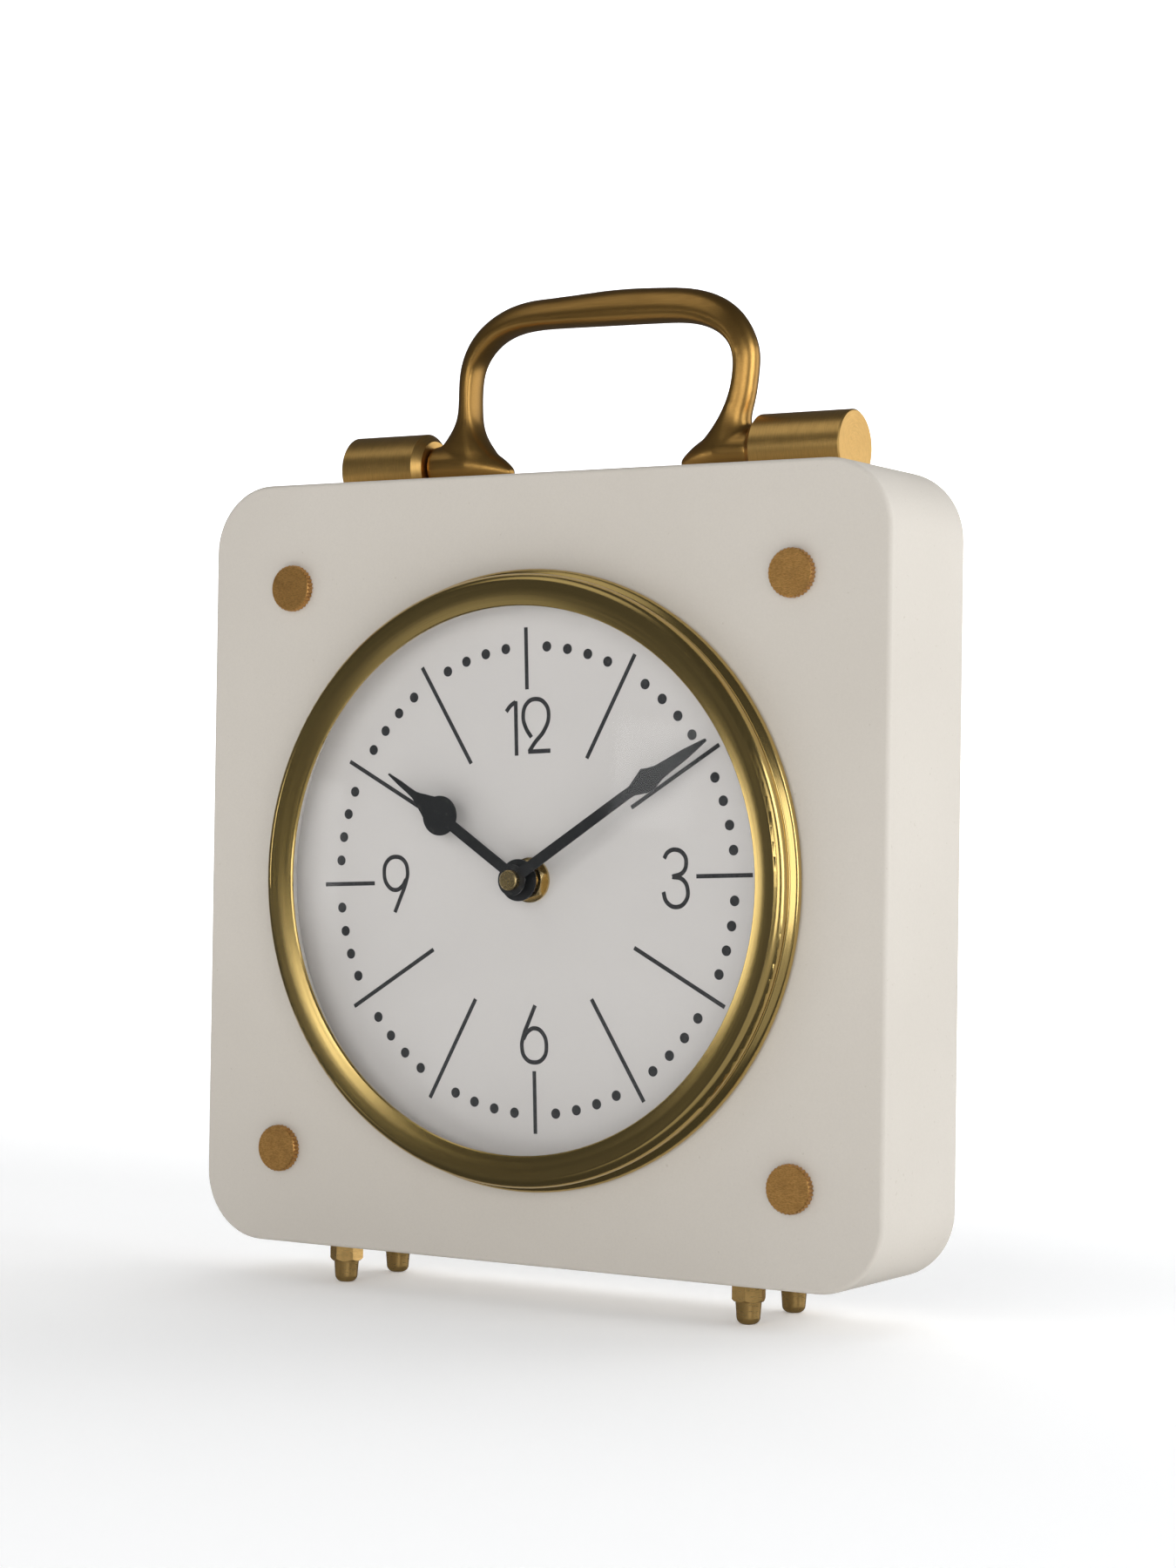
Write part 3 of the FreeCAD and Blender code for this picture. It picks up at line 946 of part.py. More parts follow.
def make_motor():
    middle = STATOR_Y + STATOR_THICKNESS / 2
    x, z = ROTOR_SPOT
    magnet = disc(MAGNET_RADIUS, middle - MAGNET_HEIGHT / 2, middle + MAGNET_HEIGHT / 2, x, z)
    parts["rotor_magnet"] = magnet.cut(disc(ROTOR_ARBOR_RADIUS, middle - 9, middle + 9, x, z))
    back = STATOR_Y + STATOR_THICKNESS
    plate = block(x - MAGNET_RADIUS - 1.2, 18.5, STATOR_Y, back, DIAL_Z + 11.6, DIAL_Z + 25.6)
    window = block(3.5, 16.5, STATOR_Y - 1, back + 1, DIAL_Z + 19.2, DIAL_Z + 27.0)
    core_z = DIAL_Z + COIL_RISE
    coil_end = COIL_START + COIL_LENGTH
    core = block(COIL_START - 1, coil_end + 1, STATOR_Y, back, core_z - CORE_HALF, core_z + CORE_HALF)
    plate = fuse_all([plate.cut(window), core])
    parts["stator"] = plate.cut([disc(MAGNET_RADIUS + 0.5, STATOR_Y - 1, back + 1, x, z),
                                 disc(SETTING_ARBOR_RADIUS + 1.5, STATOR_Y - 1, back + 1, *SETTING_SPOT)])

    def barrel(radius, start, length):
        return Part.makeCylinder(radius, length, Vec(start, middle, core_z), X_AXIS)

    flanges = [barrel(COIL_FLANGE_RADIUS, COIL_START, COIL_FLANGE),
               barrel(COIL_FLANGE_RADIUS, coil_end - COIL_FLANGE, COIL_FLANGE)]
    hole = block(COIL_START - 1, coil_end + 1, STATOR_Y - SLIP, back + SLIP,
                 core_z - CORE_HALF - SLIP, core_z + CORE_HALF + SLIP)
    parts["coil_bobbin"] = barrel(COIL_BARREL_RADIUS, COIL_START, COIL_LENGTH).fuse(flanges).cut(hole)
    winding = barrel(COIL_WIRE_RADIUS, COIL_START + COIL_FLANGE, COIL_LENGTH - 2 * COIL_FLANGE)
    parts["coil_winding"] = winding.cut(barrel(COIL_BARREL_RADIUS, COIL_START, COIL_LENGTH))


def make_electrics():
    back = BOARD_FRONT + BOARD_THICKNESS
    parts["circuit_board"] = block(BOARD_LOW_X, BOARD_HIGH_X, BOARD_FRONT, back, BOARD_LOW_Z, BOARD_HIGH_Z)
    parts["chip_cover"] = Part.makeCone(2.0, 3.2, 1.0, Vec(16.0, BOARD_FRONT - 1.0, BOARD_LOW_Z + 7), Y_AXIS)
    parts["crystal_can"] = block(21.0, 23.0, BOARD_FRONT - 1.8, BOARD_FRONT,
                                 BOARD_LOW_Z + 3, BOARD_LOW_Z + 9)
    # A flat strip runs from each battery contact through a slot to the back of the board.
    plate_low = DIAL_Z - ROOM_HALF + 1.0
    plate_high = DIAL_Z + BAY_TOP - 0.5
    nub_side = ROOM_HALF - CONTACT_THICKNESS
    strip_back = STRIP_Y + STRIP_WIDTH
    positive = fuse_all([
        block(nub_side, ROOM_HALF, ROOM_FRONT + 2, MOVEMENT_BACK - 1, plate_low, plate_high),
        block(nub_side, ROOM_HALF, STRIP_Y, strip_back, plate_high - 1, BOARD_LOW_Z + 3),
        block(BOARD_HIGH_X - 3, ROOM_HALF, back, STRIP_Y + 0.2, BOARD_LOW_Z + 1, BOARD_LOW_Z + 3),
    ])
    floor = DIAL_Z + ROOM_BOTTOM
    spring_reach = 2 * nub_side - BATTERY_LENGTH - BATTERY_NUB
    bump = Part.makeCone(4.5, 2.0, spring_reach, Vec(-nub_side, BATTERY_Y, BATTERY_Z), X_AXIS)
    negative = fuse_all([
        block(-ROOM_HALF, -nub_side, ROOM_FRONT + 2, MOVEMENT_BACK - 1, plate_low, plate_high),
        block(-ROOM_HALF, -nub_side, STRIP_Y, strip_back, plate_high - 1, floor + CONTACT_THICKNESS),
        block(-ROOM_HALF, BOARD_LOW_X + STRIP_WIDTH, STRIP_Y, strip_back, floor,
              floor + CONTACT_THICKNESS),
        block(BOARD_LOW_X, BOARD_LOW_X + STRIP_WIDTH, back, STRIP_Y + 0.2, floor, BOARD_LOW_Z + 1.2),
        bump,
    ])
    parts["battery_contacts"] = Part.makeCompound([positive, negative])
    can = Part.makeCylinder(BATTERY_RADIUS, BATTERY_LENGTH,
                            Vec(nub_side - BATTERY_NUB, BATTERY_Y, BATTERY_Z), X_AXIS * -1)
    ends = [edge for edge in can.Edges if edge.BoundBox.XLength < 0.01]
    can = can.makeChamfer(0.5, ends)
    nub = Part.makeCylinder(BATTERY_NUB_RADIUS, BATTERY_NUB + 1, Vec(nub_side, BATTERY_Y, BATTERY_Z),
                            X_AXIS * -1)
    parts["battery"] = can.fuse(nub)


def main():
    make_case()
    make_back_panel()
    make_knurled_screws()
    make_feet()
    make_bezel()
    make_glass()
    make_lens_retainer()
    make_dial()
    make_handle()
    make_handle_mounts()
    make_hour_hand()
    make_minute_hand()
    make_cap_nut()
    make_shaft_fixing()
    make_front_shell()
    make_cover()
    make_motion_work()
    make_train()
    make_motor()
    make_electrics()
    os.makedirs("parts", exist_ok=True)
    for name, shape in parts.items():
        shape.exportStep("parts/" + name + ".step")
        print(name, len(shape.Solids), round(shape.Volume, 2), shape.isValid())


main()
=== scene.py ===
# %% [markdown]
# # A carriage clock, finish by finish
# The clock is a square painted block with a round glass in a spun metal ring, a cast handle that folds
# on two half-round sockets, and four small feet.  The shapes that carry load or move come from the
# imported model.  This script gives every piece its finish, prints the dial and lights the clock.

import math

import bmesh
import bpy
from mathutils import Euler, Matrix, Vector


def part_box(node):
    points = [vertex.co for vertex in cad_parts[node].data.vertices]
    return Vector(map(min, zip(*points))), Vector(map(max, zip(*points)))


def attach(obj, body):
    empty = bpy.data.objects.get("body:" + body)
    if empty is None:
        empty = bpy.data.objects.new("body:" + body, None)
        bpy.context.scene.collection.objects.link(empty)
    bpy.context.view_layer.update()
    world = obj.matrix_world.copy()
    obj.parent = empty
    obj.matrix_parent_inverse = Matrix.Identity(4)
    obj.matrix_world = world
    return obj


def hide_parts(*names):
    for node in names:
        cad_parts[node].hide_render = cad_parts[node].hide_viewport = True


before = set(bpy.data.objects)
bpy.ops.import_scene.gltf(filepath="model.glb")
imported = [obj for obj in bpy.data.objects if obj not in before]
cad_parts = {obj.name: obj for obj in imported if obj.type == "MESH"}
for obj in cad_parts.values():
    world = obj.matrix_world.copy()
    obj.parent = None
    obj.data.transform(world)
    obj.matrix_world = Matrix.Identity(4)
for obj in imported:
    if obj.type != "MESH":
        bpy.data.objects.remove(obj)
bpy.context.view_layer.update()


# %% [markdown]
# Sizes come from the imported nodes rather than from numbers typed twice.  The dial plate gives the
# middle and the face of the dial, and the pins give the line that the handle folds about.

# %% Measure the places that the finishes need
dial_low, dial_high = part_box("dial_plate")
dial_x = (dial_low[0] + dial_high[0]) / 2
dial_z = (dial_low[2] + dial_high[2]) / 2
dial_face = dial_low[1]
pin_low, pin_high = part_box("hinge_pins")
pivot_y = (pin_low[1] + pin_high[1]) / 2
pivot_z = (pin_low[2] + pin_high[2]) / 2
print("dial centre", round(dial_x, 4), round(dial_z, 4), "face", round(dial_face, 4))
print("handle pivot", round(pivot_y, 4), round(pivot_z, 4))

# %% [markdown]
# ## Camera
# The clock is seen from its right, level with its lower half, through a long lens that keeps the
# square front almost free of perspective.

# %% Camera
camera_place = (0.50474, -0.80180, 0.13920)
camera_turn = (90.674, -0.827, 31.658)
camera_lens = 74.47
camera_reach = 50.0

camera_data = bpy.data.cameras.new("studio_camera")
camera_data.sensor_fit = "AUTO"
camera_data.sensor_width = 36.0
camera_data.lens = camera_lens
camera_data.clip_end = camera_reach
camera = bpy.data.objects.new("studio_camera", camera_data)
camera.location = camera_place
camera.rotation_euler = Euler([math.radians(angle) for angle in camera_turn], "XYZ")
bpy.context.collection.objects.link(camera)
bpy.context.scene.camera = camera
print("camera", tuple(round(value, 3) for value in camera.location))

# %% [markdown]
# ## Studio
# A pale sweep runs under the clock and up behind it.  Metal shows what stands round it, so the room
# is kept grey and the bright shapes are large panels: their edges give the brass its long soft
# streaks, and the dark room between them gives it its depth.

# %% Pale sweep
floor_front, floor_back = -3.0, 1.2
sweep_left, sweep_right = -6.5, 4.5
bend_radius = 1.0
bend_steps = 12
wall_top = 4.0


def make_sweep():
    """Floor that bends up into a wall behind the clock."""
    profile = [(floor_front, 0.0), (floor_back, 0.0)]
    for step in range(1, bend_steps + 1):
        angle = math.radians(90 * step / bend_steps)
        profile.append((floor_back + bend_radius * math.sin(angle), bend_radius * (1 - math.cos(angle))))
    profile.append((floor_back + bend_radius, wall_top))
    points = [(x, y, z) for y, z in profile for x in (sweep_right, sweep_left)]
    faces = [(first, first + 1, first + 3, first + 2) for first in range(0, len(points) - 2, 2)]
    mesh = bpy.data.meshes.new("pale_sweep")
    mesh.from_pydata(points, [], faces)
    mesh.update()
    for face in mesh.polygons:
        face.use_smooth = True
    made = bpy.data.objects.new("pale_sweep", mesh)
    bpy.context.collection.objects.link(made)
    return made


sweep = make_sweep()
print("sweep faces:", len(sweep.data.polygons))

# %% [markdown]
# Each panel is one bright shape in the room.  The key, the soft front and the overhead panel only
# light the paint and the dial, and the metals do not mirror them.  The gleam, the strips and the
# panels on the right are the shapes that the metals do mirror.  The camera sees none of them.

# %% Light panels
clock_middle = (0, 0, 0.14)


def add_panel(name, place, size, watts, aim=clock_middle, colour=(1, 1, 1)):
    """Rectangular studio light at a place, turned towards a point."""
    data = bpy.data.lights.new(name, "AREA")
    data.shape = "RECTANGLE"
    data.size, data.size_y = size
    data.energy = watts
    data.color = colour
    panel = bpy.data.objects.new(name, data)
    panel.location = place
    direction = Vector(aim) - Vector(place)
    panel.rotation_euler = direction.to_track_quat("-Z", "Y").to_euler()
    panel.visible_camera = False
    bpy.context.collection.objects.link(panel)
    return panel


key = add_panel("key_upper_left", place=(-0.80, -1.25, 1.20), size=(0.9, 0.9), watts=1.0)
add_panel("key_gleam", place=(-0.60, -0.82, 1.58), size=(1.0, 1.0), watts=1.9)
soft_front = add_panel("soft_front", place=(0.1, -2.3, 0.8), size=(1.8, 1.3), watts=12.5)
overhead = add_panel("overhead", place=(0.0, 0.2, 1.9), size=(1.6, 1.4), watts=6)
add_panel("right_front", place=(1.30, -1.35, 0.30), size=(0.8, 1.1), watts=7)
add_panel("left_strip", place=(-1.44, -0.84, 0.12), size=(0.36, 0.40), watts=1.3, aim=(0, 0, 0.12))
add_panel("front_strip", place=(0.28, -1.62, 0.26), size=(0.85, 0.20), watts=2.4)
add_panel("front_left_strip", place=(-0.44, -1.58, 0.40), size=(0.26, 0.30), watts=0.75)
add_panel("floor_bounce", place=(0.1, -0.34, 0.004), size=(0.9, 0.5), watts=0.5, aim=(0.1, -0.34, 1))
add_panel("right_fill", place=(1.55, 0.10, 0.45), size=(0.8, 1.2), watts=12.3, colour=(0.94, 0.97, 1.0))
add_panel("right_back", place=(1.05, 1.25, 0.30), size=(0.9, 1.2), watts=5)
for panel in (key, soft_front, overhead):
    panel.visible_glossy = False
sweep.visible_glossy = False

room_colour = (0.95, 0.97, 1.0, 1)
room_strength = 0.085
world = bpy.data.worlds.new("studio_room")
world.use_nodes = True
room = world.node_tree.nodes["Background"]
room.inputs["Color"].default_value = room_colour
room.inputs["Strength"].default_value = room_strength
bpy.context.scene.world = world
bpy.context.scene.view_settings.view_transform = "Standard"
print("lights:", len(bpy.data.lights))

# %% [markdown]
# ## Tools for finishes
# Every finish is a node material.  These helpers add one node at a time and join it up, so that each
# finish below reads as a short recipe.  All patterns are laid out on Object coordinates, which are
# metres on the clock itself, so that a scale of 1000 is a grain of about a millimetre.

# %% Material helpers
class Finish:
    """One node material with its Principled shader."""

    def __init__(self, name, colour, roughness, metallic=0.0):
        self.material = bpy.data.materials.new(name)
        self.material.use_nodes = True
        self.nodes = self.material.node_tree.nodes
        self.links = self.material.node_tree.links
        self.shader = self.nodes["Principled BSDF"]
        self.shader.inputs["Base Color"].default_value = (*colour, 1)
        self.shader.inputs["Roughness"].default_value = roughness
        self.shader.inputs["Metallic"].default_value = metallic
        self.place = self.add("ShaderNodeTexCoord").outputs["Object"]

    def add(self, kind, **settings):
        node = self.nodes.new(kind)
        for key, value in settings.items():
            setattr(node, key, value)
        return node

    def join(self, source, target):
        self.links.new(source, target)

    def math(self, operation, first, second=0.0):
        """Sum, product and so on of two values, each a number or a node's output."""
        node = self.add("ShaderNodeMath", operation=operation)
        for socket, value in zip(node.inputs, (first, second)):
            if isinstance(value, (int, float)):
                socket.default_value = value
            else:
                self.join(value, socket)
        return node.outputs[0]

    def stretched(self, scale, centre=(0, 0, 0)):
        """Object coordinates about a centre, scaled apart on each axis."""
        node = self.add("ShaderNodeMapping")
        offset = [-middle * factor for middle, factor in zip(centre, scale)]
        node.inputs["Location"].default_value = offset
        node.inputs["Scale"].default_value = scale
        self.join(self.place, node.inputs["Vector"])
        return node.outputs[0]

    def noise(self, vector, scale, detail=2.0, roughness=0.5):
        node = self.add("ShaderNodeTexNoise")
        node.inputs["Scale"].default_value = scale
        node.inputs["Detail"].default_value = detail
        node.inputs["Roughness"].default_value = roughness
        self.join(vector, node.inputs["Vector"])
        return node.outputs["Fac"]

    def band(self, value, low, high, to_low, to_high):
        """Take the values from low to high and spread them from to_low to to_high."""
        node = self.add("ShaderNodeMapRange", clamp=True)
        ends = {"From Min": low, "From Max": high, "To Min": to_low, "To Max": to_high}
        for label, number in ends.items():
            node.inputs[label].default_value = number
        self.join(value, node.inputs["Value"])
        return node.outputs[0]

    def blend(self, amount, first, second):
        """Mix a second colour over a first one, which is a colour or an earlier blend."""
        node = self.add("ShaderNodeMix", data_type="RGBA")
        node.inputs[6].default_value = (*first, 1) if isinstance(first, tuple) else (0, 0, 0, 1)
        node.inputs[7].default_value = (*second, 1)
        if not isinstance(first, tuple):
            self.join(first, node.inputs[6])
        self.join(amount, node.inputs[0])
        return node.outputs[2]

    def bump(self, height, strength, distance, under=None):
        """Relief from a height, with its full depth in metres, over an earlier relief if there is one."""
        node = self.add("ShaderNodeBump")
        node.inputs["Strength"].default_value = strength
        node.inputs["Distance"].default_value = distance
        self.join(height, node.inputs["Height"])
        if under is not None:
            self.join(under, node.inputs["Normal"])
        return node.outputs["Normal"]

    def colour(self, source):
        self.join(source, self.shader.inputs["Base Color"])

    def roughness(self, source):
        self.join(source, self.shader.inputs["Roughness"])

    def normal(self, source):
        self.join(source, self.shader.inputs["Normal"])


def around_axis(finish, axis, centre, line_scale, turn_scale):
    """Coordinates that run round an axis, for marks left by turning on a lathe."""
    split = finish.add("ShaderNodeSeparateXYZ")
    finish.join(finish.place, split.inputs[0])
    names = [letter for letter in "XYZ" if letter != axis]
    offsets = [finish.math("SUBTRACT", split.outputs[letter], centre["XYZ".index(letter)])
               for letter in names]
    squares = [finish.math("MULTIPLY", value, value) for value in offsets]
    radius = finish.math("SQRT", finish.math("ADD", *squares))
    turn = finish.math("ARCTAN2", offsets[1], offsets[0])
    joined = finish.add("ShaderNodeCombineXYZ")
    finish.join(finish.math("MULTIPLY", radius, line_scale), joined.inputs[0])
    finish.join(finish.math("MULTIPLY", split.outputs[axis], line_scale), joined.inputs[1])
    finish.join(finish.math("MULTIPLY", turn, turn_scale), joined.inputs[2])
    return joined.outputs[0]


def give(node_names, finish):
    """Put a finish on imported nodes."""
    for name in node_names:
        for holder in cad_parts[name].material_slots:
            holder.material = finish.material
    print(finish.material.name, "on", len(node_names), "nodes")


# %% [markdown]
# The paper gives off a little light of its own, least near the clock and most on the wall.  That
# keeps the backdrop pale without throwing light on the back of the clock's metals.

# %% Sweep finish
glow_start, glow_end = 0.15, 1.3
glow_near, glow_far = 0.18, 1.1


def sweep_paper():
    finish = Finish("pale_paper", (0.93, 0.93, 0.93), 0.9)
    cloud = finish.noise(finish.place, 3.0)
    finish.colour(finish.blend(cloud, (0.92, 0.92, 0.92), (0.95, 0.95, 0.95)))
    depth = finish.add("ShaderNodeSeparateXYZ")
    finish.join(finish.place, depth.inputs[0])
    glow = finish.band(depth.outputs["Y"], glow_start, glow_end, glow_near, glow_far)
    finish.shader.inputs["Emission Color"].default_value = (1, 1, 1, 1)
    finish.join(glow, finish.shader.inputs["Emission Strength"])
    return finish


sweep.data.materials.append(sweep_paper().material)

# %% [markdown]
# ## Painted case
# The case is fibreboard under a sprayed warm white.  Such paint dries with a very fine grain and a
# few darker specks, and large soft clouds where the coats vary.  A fine noise gives the grain to the
# bump and a little of it to the colour, and a slow noise gives the clouds.

# %% Case paint
def case_paint():
    finish = Finish("sprayed_stone_white", (0.74, 0.70, 0.64), 0.62)
    clouds = finish.noise(finish.place, 9.0, 3.0)
    grain = finish.noise(finish.place, 1500.0, 2.0, 0.7)
    specks = finish.noise(finish.place, 700.0, 1.0)
    base = finish.blend(finish.band(clouds, 0.35, 0.65, 0, 1), (0.545, 0.505, 0.448),
                        (0.577, 0.537, 0.48))
    grained = finish.blend(finish.band(grain, 0.35, 0.75, 0, 0.22), base, (0.475, 0.438, 0.39))
    finish.colour(finish.blend(finish.band(specks, 0.74, 0.80, 0, 0.35), grained, (0.38, 0.33, 0.26)))
    finish.roughness(finish.band(clouds, 0.3, 0.7, 0.56, 0.68))
    finish.normal(finish.bump(grain, 0.25, 0.00008))
    finish.shader.inputs["Specular IOR Level"].default_value = 0.35
    return finish


give(["case_body"], case_paint())

# %% [markdown]
# ## Dial
# The dial is a printed card: a pale warm grey with a faint paper tooth.  The print is laid on it as a
# film a few hundredths of a millimetre thick, so that it can be real geometry with crisp edges.  Half
# of the film lies in the card.  The card sits in the case turned by a couple of degrees.

# %% Dial card
def dial_card():
    finish = Finish("dial_card", (0.66, 0.64, 0.62), 0.55)
    tooth = finish.noise(finish.place, 2400.0, 2.0)
    tone = finish.noise(finish.place, 25.0, 2.0)
    base = finish.blend(finish.band(tone, 0.3, 0.7, 0, 1), (0.575, 0.553, 0.532), (0.592, 0.57, 0.548))
    finish.colour(finish.blend(finish.band(tooth, 0.4, 0.8, 0, 0.15), base, (0.47, 0.45, 0.43)))
    finish.normal(finish.bump(tooth, 0.15, 0.00004))
    return finish


def printing_ink():
    finish = Finish("printing_ink", (0.018, 0.019, 0.02), 0.45)
    tooth = finish.noise(finish.place, 1800.0, 2.0)
    finish.colour(finish.blend(finish.band(tooth, 0.35, 0.75, 0, 1), (0.014, 0.015, 0.017),
                               (0.045, 0.045, 0.046)))
    finish.normal(finish.bump(tooth, 0.2, 0.00003))
    return finish


give(["dial_plate"], dial_card())
ink = printing_ink()
dial_turn = math.radians(2.287)
print_film = 0.00008

# %% [markdown]
# The minute dots and the hour lines follow a rule, so Geometry Nodes draws them.  Both trees start
# from a ring of points that are numbered in order, and both end by making their instances real.

# %% Node tree helpers
def start_tree(name, inputs):
    """Geometry node group with named float inputs, and a geometry output."""
    tree = bpy.data.node_groups.new(name, "GeometryNodeTree")
    tree.interface.new_socket("Geometry", in_out="OUTPUT", socket_type="NodeSocketGeometry")
    for label, kind in inputs:
        tree.interface.new_socket(label, in_out="INPUT", socket_type=kind)
    source = tree.nodes.new("NodeGroupInput")
    result = tree.nodes.new("NodeGroupOutput")
    return tree, source, result


def number_and_test(tree, divisor):
    """Each point's number, and whether it is off the multiples of the divisor."""
    number = tree.nodes.new("GeometryNodeInputIndex")
    remainder = tree.nodes.new("ShaderNodeMath")
    remainder.operation = "MODULO"
    remainder.inputs[1].default_value = divisor
    tree.links.new(number.outputs[0], remainder.inputs[0])
    test = tree.nodes.new("FunctionNodeCompare")
    test.operation = "GREATER_THAN"
    test.inputs["B"].default_value = 0.5
    tree.links.new(remainder.outputs[0], test.inputs["A"])
    return number.outputs[0], test.outputs[0]


def end_tree(tree, source, result, instances):
    """Make the instances real, give them the ink and send them out."""
    real = tree.nodes.new("GeometryNodeRealizeInstances")
    paint = tree.nodes.new("GeometryNodeSetMaterial")
    tree.links.new(instances, real.inputs[0])
    tree.links.new(real.outputs[0], paint.inputs["Geometry"])
    tree.links.new(source.outputs["Ink"], paint.inputs["Material"])
    tree.links.new(paint.outputs[0], result.inputs[0])


def run_tree(name, tree, values):
    """Evaluate a tree on an empty mesh and return the result as a plain mesh object."""
    holder = bpy.data.objects.new(name + "_maker", bpy.data.meshes.new(name + "_maker"))
    bpy.context.collection.objects.link(holder)
    modifier = holder.modifiers.new("nodes", "NODES")
    modifier.node_group = tree
    for item in tree.interface.items_tree:
        if item.in_out == "INPUT" and item.name in values:
            modifier[item.identifier] = values[item.name]
    evaluated = holder.evaluated_get(bpy.context.evaluated_depsgraph_get())
    mesh = bpy.data.meshes.new_from_object(evaluated)
    mesh.name = name
    bpy.data.objects.remove(holder)
    made = bpy.data.objects.new(name, mesh)
    bpy.context.collection.objects.link(made)
    return made


def lay_on_dial(mesh):
    """Turn a mesh drawn flat on X and Y so that it lies on the dial, its up along the dial's up."""
    turn = Matrix.Rotation(math.radians(90), 4, "X")
    tilt = Matrix.Rotation(-dial_turn, 4, "Y")
    place = Matrix.Translation((dial_x, dial_face, dial_z))
    mesh.transform(place @ tilt @ turn)


# %% [markdown]
# A dot goes on every point of a sixty-point ring except each fifth one, where an hour line stands.

# %% Minute dots
dot_ring_radius = 0.06743
dot_radius = 0.00150


def minute_dots():
    tree, source, result = start_tree("minute_dots", [("Ring Radius", "NodeSocketFloat"),
                                                      ("Dot Radius", "NodeSocketFloat"),
                                                      ("Film", "NodeSocketFloat"),
                                                      ("Ink", "NodeSocketMaterial")])
    add = tree.nodes.new
    join = tree.links.new
    circle = add("GeometryNodeMeshCircle")
    circle.inputs["Vertices"].default_value = 60
    join(source.outputs["Ring Radius"], circle.inputs["Radius"])
    dot = add("GeometryNodeMeshCylinder")
    dot.inputs["Vertices"].default_value = 24
    join(source.outputs["Dot Radius"], dot.inputs["Radius"])
    join(source.outputs["Film"], dot.inputs["Depth"])
    _, between = number_and_test(tree, 5)
    scatter = add("GeometryNodeInstanceOnPoints")
    join(circle.outputs["Mesh"], scatter.inputs["Points"])
    join(dot.outputs["Mesh"], scatter.inputs["Instance"])
    join(between, scatter.inputs["Selection"])
    end_tree(tree, source, result, scatter.outputs[0])
    return tree


dots = run_tree("minute_dots", minute_dots(), {"Ring Radius": dot_ring_radius, "Dot Radius": dot_radius,
                                               "Film": print_film, "Ink": ink.material})
lay_on_dial(dots.data)
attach(dots, "clock")
print("minute dots:", len(dots.data.polygons), "faces")

# %% [markdown]
# An hour line starts at each point of a twelve-point ring and runs inwards.  It is shorter at every
# third hour, where a number needs room.

# %% Hour lines
hour_ring_radius = 0.0730
long_line = 0.0334
short_line = 0.0180
line_width = 0.00122


def hour_lines():
    tree, source, result = start_tree("hour_lines", [("Outer Radius", "NodeSocketFloat"),
                                                     ("Long", "NodeSocketFloat"),
                                                     ("Short", "NodeSocketFloat"),
                                                     ("Width", "NodeSocketFloat"),
                                                     ("Film", "NodeSocketFloat"),
                                                     ("Ink", "NodeSocketMaterial")])
    add = tree.nodes.new
    join = tree.links.new
    circle = add("GeometryNodeMeshCircle")
    circle.inputs["Vertices"].default_value = 12
    join(source.outputs["Outer Radius"], circle.inputs["Radius"])
    size = add("ShaderNodeCombineXYZ")
    size.inputs[0].default_value = 1.0
    join(source.outputs["Width"], size.inputs[1])
    join(source.outputs["Film"], size.inputs[2])
    bar = add("GeometryNodeMeshCube")
    join(size.outputs[0], bar.inputs["Size"])
    shift = add("GeometryNodeTransform")
    shift.inputs["Translation"].default_value = (-0.5, 0, 0)
    join(bar.outputs["Mesh"], shift.inputs["Geometry"])
    hour, is_long = number_and_test(tree, 3)
    length = add("GeometryNodeSwitch")
    length.input_type = "FLOAT"
    join(is_long, length.inputs["Switch"])
    join(source.outputs["Short"], length.inputs["False"])
    join(source.outputs["Long"], length.inputs["True"])
    stretch = add("ShaderNodeCombineXYZ")
    stretch.inputs[1].default_value = 1.0
    stretch.inputs[2].default_value = 1.0
    join(length.outputs[0], stretch.inputs[0])
    turn = add("ShaderNodeMath")
    turn.operation = "MULTIPLY"
    turn.inputs[1].default_value = math.radians(30)
    join(hour, turn.inputs[0])
    angles = add("ShaderNodeCombineXYZ")
    join(turn.outputs[0], angles.inputs[2])
    place = add("GeometryNodeInstanceOnPoints")
    join(circle.outputs["Mesh"], place.inputs["Points"])
    join(shift.outputs[0], place.inputs["Instance"])
    join(angles.outputs[0], place.inputs["Rotation"])
    join(stretch.outputs[0], place.inputs["Scale"])
    end_tree(tree, source, result, place.outputs[0])
    return tree


lines = run_tree("hour_lines", hour_lines(), {"Outer Radius": hour_ring_radius, "Long": long_line,
                                              "Short": short_line, "Width": line_width,
                                              "Film": print_film, "Ink": ink.material})
lay_on_dial(lines.data)
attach(lines, "clock")
print("hour lines:", len(lines.data.polygons), "faces")

# %% [markdown]
# The numbers are thin strokes of one width, drawn with a pen on smooth curves.  Each stroke is a
# smooth curve through a few points, swept with a round bevel and then pressed flat on the dial.
# A stroke's points are millimetres from the middle of its number, and a number's place is
# millimetres from the middle of the dial.

